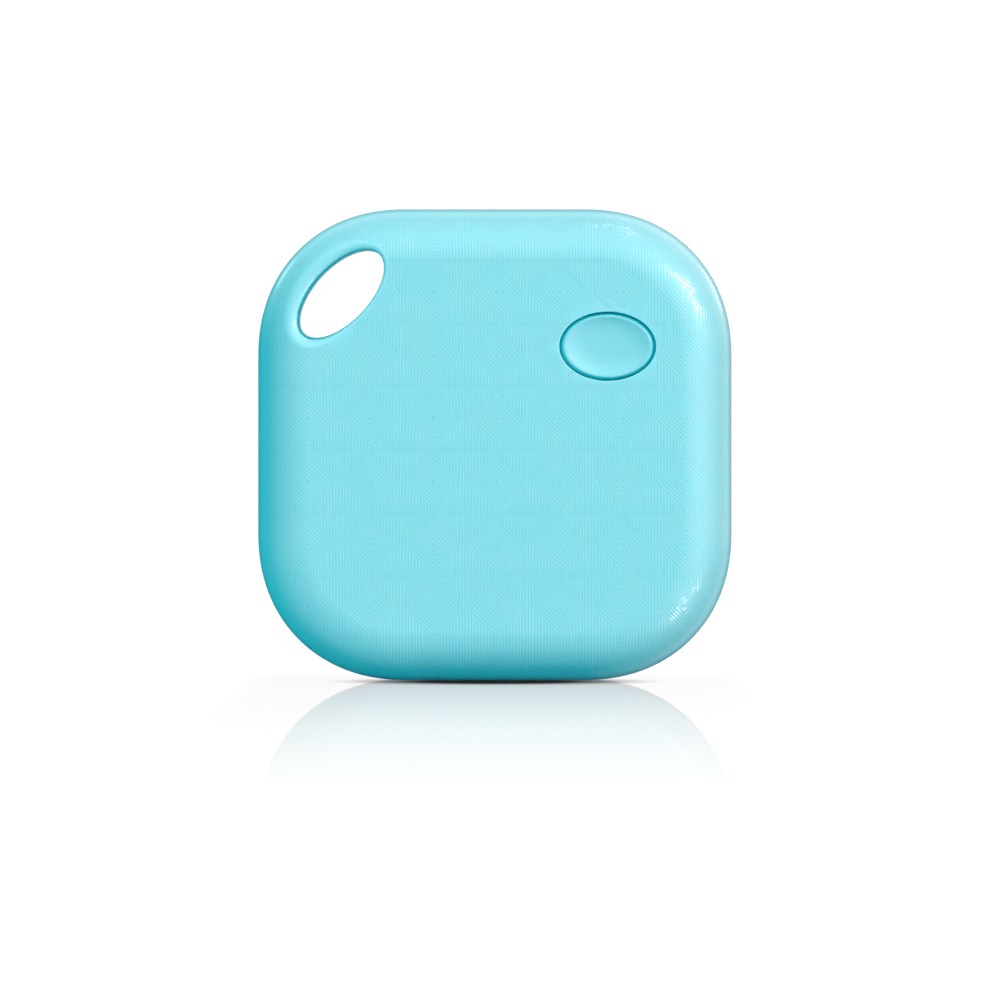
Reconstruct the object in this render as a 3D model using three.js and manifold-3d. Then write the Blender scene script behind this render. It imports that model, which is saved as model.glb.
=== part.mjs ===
// A bluetooth tracker tag: a soft-square case with a key-ring eyelet and an oval push button, and all
// that it holds. Millimetres. The tag stands on its lower edge, front towards -Y, +Z up, with its
// origin at the middle of the lower edge.
//
// Everything is modelled in the case's own frame and turned upright at the end: x to the right and
// y up as the front is seen, z from the rear face (-CASE_DEPTH / 2) to the front (+CASE_DEPTH / 2).

import * as THREE from 'three';
import { mergeVertices } from 'three/addons/utils/BufferGeometryUtils.js';
import Module from 'manifold-3d';

const wasm = await Module();
wasm.setup();

// Case
const CASE_WIDTH = 37.5;
const CASE_HEIGHT = 37.3;
const CASE_DEPTH = 8;
const FRONT = CASE_DEPTH / 2;
const REAR = -CASE_DEPTH / 2;
const CORNER_RADIUS = 11.66;
const CORNER_EXPONENT = 2.15;
const CORNER_STEPS = 10;
const FRONT_ROLL = { width: 4.1, depth: 3.6, steps: 6 };
const REAR_ROLL = { width: 2, depth: 2.4, steps: 5 };
const FRONT_WALL = 1;
const REAR_WALL = 1.15;
const SIDE_WALL = 1.2;
const SEAM_TOP = -0.2;
const SEAM_BOTTOM = -0.5;
const TONGUE = { outer: 1.35, inner: 2, top: 0.8 };
const SEAL = { outer: 0.75, inner: 1.2, bottom: -0.4, top: 0.1 };
const SEAL_REBATE = { outer: 0.6, top: 0.2 };

// Key-ring eyelet, a slanted oval across the upper left corner
const EYELET = { x: -12.03, y: 11.835, halfLength: 4.27, halfWidth: 2.14, tilt: 0.815 };
const EYELET_RIM = { radius: 0.35, steps: 3 };
const EYELET_WALL = 1.1;
const EYELET_REACH = 6;

// Button and its switch
const BUTTON = { x: 8.87, y: 7.7, halfWidth: 3.6, halfHeight: 2.52 };
const BUTTON_GAP = 0.2;
const BUTTON_TOP = FRONT - 0.02;
const BUTTON_FLANGE = { reach: 0.75, bottom: 2.35, top: 2.8 };
const BUTTON_DISH = { depth: 0.4, rim: 0.45 };
const BUTTON_BEVEL = { width: 0.18, depth: 0.16 };
const BUTTON_WALL = 0.7;
const PAD = { stem: 0.7, radius: 2.3, bottom: 2.68, step: 2.76, top: 2.92 };
const SWITCH = { width: 3, height: 2.5, baseTop: 2.3, wellRadius: 1.05, wellFloor: 2.02 };
const SWITCH_COVER = { bottom: 2.36, top: 2.48, opening: 0.72 };
const PLUNGER = { radius: 0.6, bottom: 2.34, shoulder: 2.6, top: 2.62 };
const DOME = { radius: 0.95, middle: 0.5, bottom: [2.24, 2.21, 2.06], sheet: 0.06 };

// Battery and door
const CELL = { x: 1, y: -2.5, radius: 10, bottom: -2.3, height: 3.2, sheet: 0.25 };
const CELL_CAN = { round: 0.3, crimp: 0.25, lip: 0.5, rimDrop: 0.2, floorRound: 0.4 };
const CELL_GASKET = { inner: 9.1, outer: 9.4, lift: 0.5, drop: 0.1 };
const CELL_CAP = { radius: 8.95, round: 0.45, innerRound: 0.55, footLift: 0.7 };
const NEGATIVE_LEAF = { width: 3, pad: 1.2, touch: 1 };
const POSITIVE_LEAF = { width: 4 };
const LEAF_SHEET = 0.1;
const DOOR = { radius: 11.7, gap: 0.15, rimBottom: -3.35, coreRadius: 9.4, coreTop: -2.7 };
const SKIRT = { inner: 10.3, outer: 10.8, top: -1.4 };
const FLANGE = { inner: 10.95, outer: 13, bottom: -2.75, top: -2.15 };
const LUG = { reach: 11.5, bottom: -2, top: -1.45, halfAngle: 0.2, count: 3 };
const LUG_CLEARANCE = 0.2;
const NOTCH_HALF_ANGLE = 0.26;
const DOOR_TURN = Math.PI / 6;
const COIN_SLOT = { halfLength: 6.5, halfWidth: 0.85, depth: 0.6 };
const DOOR_SEAL = { radius: 11.2, thickness: 0.22, z: -3.05 };

// Inside
const BOARD = { inset: 2.6, bottom: 1.3, top: 1.9, cornerCut: 13.4, cutLength: 30, cutReach: 12 };
const PART_FLOOR = BOARD.top + 0.05;
const CRADLE = { inner: 10.45, outer: 11.3, bottom: -1.2, top: 0.95, earBottom: 0.3, earRadius: 1.7 };
const SCREW_PLACES = [[-12.6, -11], [13.4, -11], [-3.6, 13.4], [12.2, 12.4]];
const SCREW = { shaft: 0.55, head: 1.15, headBottom: -0.25, headTop: 0.15, tip: 2.8, hole: 0.75 };
const SCREW_EDGE = 0.15;
const SCREW_POINT = 0.3;
const DRIVE = { length: 1.1, width: 0.3, depth: 0.22 };
const BOSS = { radius: 1.5, bottom: 2.05 };
const SOUNDER = { x: 0.8, y: -7.2 };
const SOUNDER_PLATE = { radius: 6.4, bottom: 2.5, top: 2.66 };
const SOUNDER_CERAMIC = { radius: 4.5, bottom: 2.32, top: 2.44 };
const SOUNDER_RIB = { inner: 5.6, outer: 6.6, bottom: 2.75 };
const SOUNDER_LEAF = { sheet: 0.08, width: 0.8, clearance: 0.06 };
const SOUNDER_LEAF_PLACES = { plate: 5.3, ceramic: -1 };

const ROUND_STEPS = 48;
const OVAL_STEPS = 40;
const SMALL_STEPS = 16;
const PAD_STEPS = 24;

// ---------------------------------------------------------------- outlines

function caseOutline(inset) {
  const radius = CORNER_RADIUS - inset;
  const points = [];
  for (let corner = 0; corner < 4; corner++) {
    const sideX = corner === 0 || corner === 3 ? 1 : -1;
    const sideY = corner < 2 ? 1 : -1;
    for (let step = 0; step <= CORNER_STEPS; step++) {
      const angle = ((corner + step / CORNER_STEPS) * Math.PI) / 2;
      const across = Math.abs(Math.cos(angle)) ** (2 / CORNER_EXPONENT);
      const up = Math.abs(Math.sin(angle)) ** (2 / CORNER_EXPONENT);
      points.push(new THREE.Vector2(
        sideX * (CASE_WIDTH / 2 - CORNER_RADIUS + radius * across),
        sideY * (CASE_HEIGHT / 2 - CORNER_RADIUS + radius * up),
      ));
    }
  }
  return points;
}

function ovalOutline(halfLength, halfWidth, tilt = 0, x = 0, y = 0, steps = OVAL_STEPS) {
  return new THREE.EllipseCurve(x, y, halfLength, halfWidth, 0, 2 * Math.PI, false, tilt)
    .getPoints(steps)
    .slice(0, -1);
}

function roundOutline(radius, x = 0, y = 0, steps = ROUND_STEPS) {
  return ovalOutline(radius, radius, 0, x, y, steps);
}

function eyeletOutline(grow) {
  const { x, y, halfLength, halfWidth, tilt } = EYELET;
  return ovalOutline(halfLength + grow, halfWidth + grow, tilt, x, y);
}

function slotOutline(halfLength, halfWidth) {
  const shape = new THREE.Shape();
  const straight = halfLength - halfWidth;
  shape.absarc(straight, 0, halfWidth, -Math.PI / 2, Math.PI / 2, false);
  shape.absarc(-straight, 0, halfWidth, Math.PI / 2, (3 * Math.PI) / 2, false);
  return mergeNear(shape.getPoints(8));
}

function mergeNear(points) {
  return points.filter((point, i) => point.distanceTo(points[(i + 1) % points.length]) > 1e-4);
}

// The stretch of a ring between two radii, centred on an angle.
function arcOutline(inner, outer, angle, halfAngle) {
  const shape = new THREE.Shape();
  shape.absarc(0, 0, outer, angle - halfAngle, angle + halfAngle, false);
  shape.absarc(0, 0, inner, angle + halfAngle, angle - halfAngle, true);
  return mergeNear(shape.getPoints(4));
}

// ---------------------------------------------------------------- solids

// A closed geometry as a solid that can be joined and cut.
function solid(geometry) {
  const bare = geometry.clone();
  bare.deleteAttribute('normal');
  bare.deleteAttribute('uv');
  const merged = mergeVertices(bare);
  const triangles = [];
  for (let i = 0; i < merged.index.count; i += 3) {
    const [a, b, c] = [0, 1, 2].map((k) => merged.index.getX(i + k));
    if (a !== b && b !== c && c !== a) triangles.push(a, b, c);
  }
  if (signedVolume(merged.attributes.position, triangles) < 0) triangles.reverse();
  return new wasm.Manifold(new wasm.Mesh({
    numProp: 3,
    vertProperties: new Float32Array(merged.attributes.position.array),
    triVerts: new Uint32Array(triangles),
  }));
}

function signedVolume(position, triangles) {
  const [a, b, c] = [new THREE.Vector3(), new THREE.Vector3(), new THREE.Vector3()];
  let volume = 0;
  for (let i = 0; i < triangles.length; i += 3) {
    a.fromBufferAttribute(position, triangles[i]);
    b.fromBufferAttribute(position, triangles[i + 1]);
    c.fromBufferAttribute(position, triangles[i + 2]);
    volume += a.dot(b.cross(c)) / 6;
  }
  return volume;
}

function geometryOf(shape) {
  const { vertProperties, triVerts } = shape.getMesh();
  const geometry = new THREE.BufferGeometry();
  geometry.setAttribute('position', new THREE.BufferAttribute(vertProperties, 3));
  geometry.setIndex(new THREE.BufferAttribute(triVerts, 1));
  geometry.computeVertexNormals();
  return geometry;
}

function prism(outline, bottom, top) {
  const options = { depth: top - bottom, bevelEnabled: false };
  const geometry = new THREE.ExtrudeGeometry(new THREE.Shape(outline), options);
  return solid(geometry.translate(0, 0, bottom));
}

// A closed skin through outlines that have the same number of points, each at its own height.
function loft(sections) {
  const count = sections[0].outline.length;
  const positions = sections.flatMap(({ outline, z }) => outline.flatMap((p) => [p.x, p.y, z]));
  const triangles = [];
  for (let level = 0; level + 1 < sections.length; level++) {
    for (let i = 0; i < count; i++) {
      const next = (i + 1) % count;
      const [low, high] = [level * count, (level + 1) * count];
      triangles.push(low + i, low + next, high + next, low + i, high + next, high + i);
    }
  }
  const top = (sections.length - 1) * count;
  for (const [a, b, c] of THREE.ShapeUtils.triangulateShape(sections[0].outline, [])) {
    triangles.push(c, b, a, top + a, top + b, top + c);
  }
  const geometry = new THREE.BufferGeometry();
  geometry.setAttribute('position', new THREE.BufferAttribute(new Float32Array(positions), 3));
  geometry.setIndex(triangles);
  return solid(geometry);
}

function turned(profile, steps = ROUND_STEPS) {
  const points = profile.map(([radius, z]) => new THREE.Vector2(radius, z));
  return solid(new THREE.LatheGeometry(points, steps).rotateX(Math.PI / 2));
}

// A ring of rectangular section.
function ring(inner, outer, bottom, top, steps = ROUND_STEPS) {
  return turned([[inner, bottom], [outer, bottom], [outer, top], [inner, top], [inner, bottom]], steps);
}

function box(width, height, bottom, top) {
  const geometry = new THREE.BoxGeometry(width, height, top - bottom);
  return solid(geometry.translate(0, 0, (bottom + top) / 2));
}

// A bent strip of sheet metal: its side view along x and z, swept along y.
function strip(centreLine, thickness, width) {
  const left = [];
  const right = [];
  centreLine.forEach(([x, z], i) => {
    const [x0, z0] = centreLine[Math.max(i - 1, 0)];
    const [x1, z1] = centreLine[Math.min(i + 1, centreLine.length - 1)];
    const along = new THREE.Vector2(x1 - x0, z1 - z0).normalize();
    const side = new THREE.Vector2(-along.y, along.x).multiplyScalar(thickness / 2);
    left.push(new THREE.Vector2(x + side.x, z + side.y));
    right.unshift(new THREE.Vector2(x - side.x, z - side.y));
  });
  const options = { depth: width, bevelEnabled: false };
  const geometry = new THREE.ExtrudeGeometry(new THREE.Shape([...left, ...right]), options);
  return solid(geometry.translate(0, 0, -width / 2).rotateX(Math.PI / 2));
}

// ---------------------------------------------------------------- case shells

// The rolled edge as sections, from the widest one to the flat face.
function rollSections(inset, roll, widest, face) {
  const sections = [];
  for (let step = 0; step <= roll.steps; step++) {
    const angle = ((step / roll.steps) * Math.PI) / 2;
    const z = widest + (face - widest) * Math.sin(angle);
    sections.push({ outline: caseOutline(inset + roll.width * (1 - Math.cos(angle))), z });
  }
  return sections;
}

function frontVolume(inset, bottom, face, roll) {
  const sections = rollSections(inset, roll, FRONT - FRONT_ROLL.depth, face);
  return loft([{ outline: caseOutline(inset), z: bottom }, ...sections]);
}

function rearVolume(inset, top, face, roll) {
  const sections = rollSections(inset, roll, REAR + REAR_ROLL.depth, face).reverse();
  return loft([...sections, { outline: caseOutline(inset), z: top }]);
}

function caseRing(outer, inner, bottom, top) {
  return prism(caseOutline(outer), bottom, top).subtract(prism(caseOutline(inner), bottom - 1, top + 1));
}

// Solid stock round the eyelet: an oval sleeve, filled out to the corner of the case.
function eyeletStock(grow, bottom, top) {
  const sleeve = prism(eyeletOutline(EYELET_WALL + grow), bottom, top);
  const width = 2 * (EYELET.halfLength + EYELET_WALL + grow);
  const fill = box(width, EYELET_REACH, bottom, top)
    .translate([0, EYELET_REACH / 2, 0])
    .rotate([0, 0, THREE.MathUtils.radToDeg(EYELET.tilt)])
    .translate([EYELET.x, EYELET.y, 0]);
  return sleeve.add(fill);
}

// The hole itself, flared at both faces where its rim is rounded.
function eyeletHole() {
  const flare = [];
  for (let step = 0; step <= EYELET_RIM.steps; step++) {
    const angle = ((step / EYELET_RIM.steps) * Math.PI) / 2;
    flare.push({ grow: 1 - Math.cos(angle), rise: Math.sin(angle) });
  }
  const { radius } = EYELET_RIM;
  const rear = flare.map(({ grow, rise }) => ({
    outline: eyeletOutline(radius * grow),
    z: REAR + radius * (1 - rise),
  }));
  const front = flare.map(({ grow, rise }) => ({
    outline: eyeletOutline(radius * grow),
    z: FRONT - radius * (1 - rise),
  }));
  const beyond = { outline: eyeletOutline(radius), z: FRONT + 1 };
  const behind = { outline: eyeletOutline(radius), z: REAR - 1 };
  return loft([behind, ...rear.reverse(), ...front, beyond]);
}

function atScrews(make) {
  return SCREW_PLACES.map(([x, y]) => make().translate([x, y, 0]));
}

function frontCover() {
  const outside = frontVolume(0, SEAM_TOP, FRONT, FRONT_ROLL);
  const inner = { ...FRONT_ROLL, width: FRONT_ROLL.width - SIDE_WALL };
  const cavity = frontVolume(SIDE_WALL, SEAM_TOP - 1, FRONT - FRONT_WALL, inner);
  const { inner: ribInner, outer: ribOuter, bottom: ribBottom } = SOUNDER_RIB;
  const sounderRib = ring(ribInner, ribOuter, ribBottom, FRONT - FRONT_WALL / 2)
    .translate([SOUNDER.x, SOUNDER.y, 0]);
  let cover = outside.subtract(cavity).add(sounderRib);
  const bosses = atScrews(() => prism(roundOutline(BOSS.radius, 0, 0, SMALL_STEPS), BOSS.bottom, FRONT));
  for (const boss of bosses) cover = cover.add(boss.intersect(outside));
  cover = cover.add(eyeletStock(0, SEAM_TOP, FRONT).intersect(outside));
  const rebate = caseRing(SEAL_REBATE.outer, TONGUE.inner, SEAM_TOP - 1, SEAL_REBATE.top);
  const aperture = prism(
    ovalOutline(BUTTON.halfWidth + BUTTON_GAP, BUTTON.halfHeight + BUTTON_GAP, 0, BUTTON.x, BUTTON.y),
    BUTTON_FLANGE.bottom,
    FRONT + 1,
  );
  cover = cover.subtract(rebate).subtract(aperture).subtract(eyeletHole());
  const pilots = atScrews(() => prism(roundOutline(SCREW.hole, 0, 0, SMALL_STEPS), 0, FRONT - FRONT_WALL));
  for (const pilot of pilots) cover = cover.subtract(pilot);
  return cover;
}

function rearCover() {
  const outside = rearVolume(0, SEAM_BOTTOM, REAR, REAR_ROLL);
  const inner = { ...REAR_ROLL, width: 1 };
  const cavity = rearVolume(TONGUE.inner, SEAM_BOTTOM + 1, REAR + REAR_WALL, inner);
  const tongue = caseRing(TONGUE.outer, TONGUE.inner, SEAM_BOTTOM - 0.5, TONGUE.top)
    .subtract(eyeletStock(0.3, SEAM_BOTTOM, TONGUE.top + 1));
  const flange = ring(FLANGE.inner, FLANGE.outer, REAR + REAR_WALL - 0.5, FLANGE.top)
    .translate([CELL.x, CELL.y, 0]);
  const recess = prism(roundOutline(DOOR.radius + DOOR.gap, CELL.x, CELL.y), REAR - 1, FLANGE.bottom);
  const opening = prism(roundOutline(FLANGE.inner, CELL.x, CELL.y), REAR - 1, 1);
  const eyelet = eyeletStock(0, REAR, SEAM_BOTTOM).intersect(outside);
  let cover = outside.subtract(cavity).add(flange).add(eyelet).add(tongue);
  cover = cover.subtract(recess).subtract(opening).subtract(eyeletHole());
  for (let i = 0; i < LUG.count; i++) {
    const angle = lugAngle(i) - DOOR_TURN;
    const outline = arcOutline(FLANGE.inner - 1, LUG.reach + LUG_CLEARANCE, angle, NOTCH_HALF_ANGLE);
    cover = cover.subtract(prism(outline, REAR, 0).translate([CELL.x, CELL.y, 0]));
  }
  return cover;
}

function lugAngle(i) {
  return Math.PI / 2 + (i * 2 * Math.PI) / LUG.count;
}

function caseSeal() {
  return caseRing(SEAL.outer, SEAL.inner, SEAL.bottom, SEAL.top);
}

// ---------------------------------------------------------------- button and switch

// An oval turned shape: radii are given along the button's width.
function ovalTurned(profile, scaleY, steps = OVAL_STEPS) {
  return turned(profile, steps).scale([1, scaleY, 1]);
}

function buttonCap() {
  const { halfWidth, halfHeight } = BUTTON;
  const { reach, bottom, top } = BUTTON_FLANGE;
  const hollow = halfWidth - BUTTON_WALL;
  const rim = halfWidth - BUTTON_DISH.rim;
  const profile = [
    [0, FRONT - FRONT_WALL],
    [hollow, FRONT - FRONT_WALL],
    [hollow, bottom],
    [halfWidth + reach, bottom],
    [halfWidth + reach, top],
    [halfWidth, top],
    [halfWidth, BUTTON_TOP - BUTTON_BEVEL.depth],
    [halfWidth - BUTTON_BEVEL.width, BUTTON_TOP],
    [rim, BUTTON_TOP - 0.03],
  ];
  for (const part of [0.75, 0.5, 0.25, 0]) {
    profile.push([rim * part, BUTTON_TOP - BUTTON_DISH.depth * (1 - part * part)]);
  }
  return ovalTurned(profile, halfHeight / halfWidth);
}

function buttonPad() {
  const { stem, radius, bottom, step, top } = PAD;
  const profile = [[0, bottom], [stem, bottom], [stem, step], [radius, step], [radius, top], [0, top]];
  return ovalTurned(profile, BUTTON.halfHeight / BUTTON.halfWidth, PAD_STEPS);
}

function switchBase() {
  const { width, height, baseTop, wellRadius, wellFloor } = SWITCH;
  const well = prism(roundOutline(wellRadius, 0, 0, SMALL_STEPS), wellFloor, baseTop + 1);
  return box(width, height, PART_FLOOR, baseTop).subtract(well);
}

function switchDome() {
  const under = [0, DOME.middle, DOME.radius].map((radius, i) => [radius, DOME.bottom[i]]);
  const over = under.map(([radius, z]) => [radius, z + DOME.sheet]).reverse();
  return turned([...under, ...over], SMALL_STEPS);
}

function switchCover() {
  const { bottom, top, opening } = SWITCH_COVER;
  const hole = prism(roundOutline(opening, 0, 0, SMALL_STEPS), bottom - 1, top + 1);
  return box(SWITCH.width, SWITCH.height, bottom, top).subtract(hole);
}

function switchPlunger() {
  const { radius, bottom, shoulder, top } = PLUNGER;
  return turned([[0, bottom], [radius, bottom], [radius, shoulder], [0, top]], SMALL_STEPS);
}

// ---------------------------------------------------------------- battery and door

function batteryDoor() {
  let door = turned([
    [0, REAR], [DOOR.radius - 0.2, REAR], [DOOR.radius, REAR + 0.2], [DOOR.radius, DOOR.rimBottom],
    [SKIRT.outer, DOOR.rimBottom], [SKIRT.outer, SKIRT.top], [SKIRT.inner, SKIRT.top],
    [SKIRT.inner, DOOR.rimBottom], [DOOR.coreRadius, DOOR.rimBottom], [DOOR.coreRadius, DOOR.coreTop],
    [0, DOOR.coreTop],
  ]);
  for (let i = 0; i < LUG.count; i++) {
    const outline = arcOutline(SKIRT.inner + 0.1, LUG.reach, lugAngle(i), LUG.halfAngle);
    door = door.add(prism(outline, LUG.bottom, LUG.top));
  }
  const { halfLength, halfWidth, depth } = COIN_SLOT;
  const slot = prism(slotOutline(halfLength, halfWidth), REAR - 1, REAR + depth);
  return door.subtract(slot);
}

function doorSeal() {
  const { radius, thickness, z } = DOOR_SEAL;
  const profile = [];
  for (let step = 0; step <= 8; step++) {
    const angle = (step / 8) * 2 * Math.PI;
    profile.push([radius + thickness * Math.cos(angle), z + thickness * Math.sin(angle)]);
  }
  return turned(profile);
}

function cellCan() {
  const { radius, bottom, height, sheet } = CELL;
  const { round, crimp, lip, rimDrop, floorRound } = CELL_CAN;
  const rim = bottom + height - rimDrop;
  return turned([
    [0, bottom], [radius - round, bottom], [radius, bottom + round], [radius, rim - crimp],
    [radius - crimp, rim], [radius - lip, rim], [radius - sheet, rim - floorRound],
    [radius - sheet, bottom + floorRound], [radius - floorRound, bottom + sheet], [0, bottom + sheet],
  ]);
}

function cellGasket() {
  const { inner, outer, lift, drop } = CELL_GASKET;
  return ring(inner, outer, CELL.bottom + lift, CELL.bottom + CELL.height - drop);
}

function cellCap() {
  const { bottom, height, sheet } = CELL;
  const { radius, round, innerRound, footLift } = CELL_CAP;
  const [top, foot] = [bottom + height, bottom + footLift];
  return turned([
    [0, top - sheet], [radius - innerRound, top - sheet], [radius - sheet, top - innerRound],
    [radius - sheet, foot], [radius, foot], [radius, top - round], [radius - round, top], [0, top],
  ]);
}

function batteryCradle() {
  let cradle = ring(CRADLE.inner, CRADLE.outer, CRADLE.bottom, CRADLE.top)
    .translate([CELL.x, CELL.y, 0]);
  const outside = prism(roundOutline(CRADLE.inner + 0.3, CELL.x, CELL.y), CRADLE.bottom - 1, BOARD.top);
  for (const [x, y] of SCREW_PLACES) {
    const reach = new THREE.Vector2(CELL.x - x, CELL.y - y);
    const arm = box(reach.length(), 2 * CRADLE.earRadius, CRADLE.earBottom, CRADLE.top)
      .translate([reach.length() / 2, 0, 0])
      .rotate([0, 0, THREE.MathUtils.radToDeg(reach.angle())])
      .translate([x, y, 0]);
    const ear = prism(roundOutline(CRADLE.earRadius, x, y, SMALL_STEPS), CRADLE.earBottom, CRADLE.top);
    const hole = prism(roundOutline(SCREW.hole, x, y, SMALL_STEPS), -2, 3);
    cradle = cradle.add(arm.add(ear).subtract(outside)).subtract(hole);
  }
  return cradle;
}

function negativeContact() {
  const { width, pad, touch } = NEGATIVE_LEAF;
  const line = [[-6.5, pad], [-4.2, pad], [-1.6, touch], [1.6, touch], [4.2, pad], [6.5, pad]];
  return strip(line, LEAF_SHEET, width);
}

// A leaf that stands against the side of the can, with a foot for the board.
function positiveContact() {
  const line = [[-12.4, 1.15], [-10.5, 1.15], [-10.2, 0.9], [-10.17, -0.9]];
  return strip(line, LEAF_SHEET, POSITIVE_LEAF.width);
}

// ---------------------------------------------------------------- board, sounder and screws

function circuitBoard() {
  let board = prism(caseOutline(BOARD.inset), BOARD.bottom, BOARD.top);
  const { cornerCut, cutLength, cutReach } = BOARD;
  const corner = box(cutLength, cutReach, 0, BOARD.top + 1)
    .translate([0, cornerCut + cutReach / 2, 0])
    .rotate([0, 0, 45]);
  board = board.subtract(corner);
  for (const hole of atScrews(() => prism(roundOutline(SCREW.hole, 0, 0, SMALL_STEPS), 0, 3))) {
    board = board.subtract(hole);
  }
  return board;
}

function screw() {
  const { shaft, head, headBottom, headTop, tip } = SCREW;
  const body = turned([
    [0, headBottom], [head - SCREW_EDGE, headBottom], [head, headBottom + SCREW_EDGE], [head, headTop],
    [shaft, headTop], [shaft, tip - SCREW_POINT], [0, tip],
  ], SMALL_STEPS);
  const drive = box(DRIVE.length, DRIVE.width, headBottom - 1, headBottom + DRIVE.depth);
  return body.subtract(drive).subtract(drive.rotate([0, 0, 90]));
}

function sounderPlate() {
  return prism(roundOutline(SOUNDER_PLATE.radius), SOUNDER_PLATE.bottom, SOUNDER_PLATE.top);
}

function sounderCeramic() {
  return prism(roundOutline(SOUNDER_CERAMIC.radius), SOUNDER_CERAMIC.bottom, SOUNDER_CERAMIC.top);
}

// A ramp of sheet metal from the board up to just under a plate.
function sounderContact(top) {
  const { sheet, width, clearance } = SOUNDER_LEAF;
  const [foot, rise] = [PART_FLOOR + clearance, top - clearance];
  return strip([[-1.3, foot], [-0.6, foot], [0.5, rise], [1.1, rise]], sheet, width);
}

function chip([width, height, rise]) {
  return box(width, height, PART_FLOOR, PART_FLOOR + rise);
}

// ---------------------------------------------------------------- materials

const finish = (color, roughness, metalness = 0) => () => (
  new THREE.MeshStandardMaterial({ color, roughness, metalness })
);
const CASE_PLASTIC = finish(0x8adeea, 0.3);
const BUTTON_PLASTIC = finish(0x83dce7, 0.2);
const BLACK_RUBBER = finish(0x1c2022, 0.8);
const CLEAR_SILICONE = finish(0xd9e4e6, 0.6);
const BLACK_PLASTIC = finish(0x202326, 0.55);
const BOARD_GREEN = finish(0x1d5a3c, 0.5);
const STEEL = finish(0xc4c6c8, 0.3, 1);
const BRASS = finish(0xc9a24e, 0.35, 1);
const CERAMIC = finish(0xe6e2d6, 0.45);
const CAPACITOR_TAN = finish(0x9a7448, 0.5);

// ---------------------------------------------------------------- assembly

const tag = new THREE.Group();
tag.rotation.x = Math.PI / 2;
tag.position.z = CASE_HEIGHT / 2;

const battery = new THREE.Group();
battery.position.set(CELL.x, CELL.y, 0);
const button = new THREE.Group();
button.position.set(BUTTON.x, BUTTON.y, 0);
const sounder = new THREE.Group();
sounder.position.set(SOUNDER.x, SOUNDER.y, 0);
tag.add(battery, button, sounder);

function place(name, shape, material, parent = tag, x = 0, y = 0, turn = 0) {
  const mesh = new THREE.Mesh(geometryOf(shape), material());
  mesh.name = name;
  mesh.position.set(x, y, 0);
  mesh.rotation.z = turn;
  parent.add(mesh);
}

place('front_cover', frontCover(), CASE_PLASTIC);
place('rear_cover', rearCover(), CASE_PLASTIC);
place('case_seal', caseSeal(), BLACK_RUBBER);

place('button_cap', buttonCap(), BUTTON_PLASTIC, button);
place('button_pad', buttonPad(), CLEAR_SILICONE, button);
place('switch_base', switchBase(), BLACK_PLASTIC, button);
place('switch_dome', switchDome(), STEEL, button);
place('switch_cover', switchCover(), STEEL, button);
place('switch_plunger', switchPlunger(), BLACK_PLASTIC, button);

place('battery_door', batteryDoor(), CASE_PLASTIC, battery);
place('door_seal', doorSeal(), BLACK_RUBBER, battery);
place('cell_can', cellCan(), STEEL, battery);
place('cell_gasket', cellGasket(), BLACK_PLASTIC, battery);
place('cell_cap', cellCap(), STEEL, battery);
place('battery_cradle', batteryCradle(), BLACK_PLASTIC);
place('negative_contact', negativeContact(), STEEL, battery);
place('positive_contact', positiveContact(), STEEL, battery);

place('circuit_board', circuitBoard(), BOARD_GREEN);
place('sounder_plate', sounderPlate(), BRASS, sounder);
place('sounder_ceramic', sounderCeramic(), CERAMIC, sounder);
const PLATE_TOUCH = SOUNDER_PLATE.bottom - 0.05;
const CERAMIC_TOUCH = SOUNDER_CERAMIC.bottom - 0.05;
place('sounder_contact_plate', sounderContact(PLATE_TOUCH), STEEL, sounder, SOUNDER_LEAF_PLACES.plate);
place('sounder_contact_ceramic', sounderContact(CERAMIC_TOUCH), STEEL, sounder, SOUNDER_LEAF_PLACES.ceramic);

// Surface-mounted parts: name, size, place on the board, turn and finish
const BOARD_PARTS = [
  ['radio_chip', [5, 5, 0.75], -7.4, 2.4, 0, BLACK_PLASTIC],
  ['main_crystal', [2.5, 2, 0.55], -11.9, 1.2, 0, STEEL],
  ['clock_crystal', [3.2, 1.5, 0.65], -1.6, 4.6, 0, STEEL],
  ['chip_antenna', [5, 1.6, 0.8], -13.6, -4.6, Math.PI / 2, CERAMIC],
  ['power_inductor', [2.5, 2, 0.8], 1.9, 9.4, 0, BLACK_PLASTIC],
  ['capacitor_1', [1.6, 0.8, 0.7], -11.9, -1, Math.PI / 2, CAPACITOR_TAN],
  ['capacitor_2', [1.6, 0.8, 0.7], -1.6, 1.8, 0, CAPACITOR_TAN],
  ['capacitor_3', [1.6, 0.8, 0.7], 1.9, 6.6, 0, CAPACITOR_TAN],
  ['capacitor_4', [1.6, 0.8, 0.7], 11.9, -1.4, Math.PI / 2, CAPACITOR_TAN],
];
for (const [name, size, x, y, turn, material] of BOARD_PARTS) {
  place(name, chip(size), material, tag, x, y, turn);
}

SCREW_PLACES.forEach(([x, y], i) => place(`board_screw_${i + 1}`, screw(), STEEL, tag, x, y));

export default tag;
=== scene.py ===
"""The looks of a bluetooth tracker tag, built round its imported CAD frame.

The shapes are worked out in millimetres in the case's own frame: x to the right and y up as the front
is seen, both from the case's middle, and z from the rear face (negative) to the front (positive).
CASE_TO_ROW then takes them to the row frame, in metres.
"""

import math

import bmesh
import bpy
import numpy as np
from mathutils import Matrix, Vector
from mathutils.geometry import delaunay_2d_cdt

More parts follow.
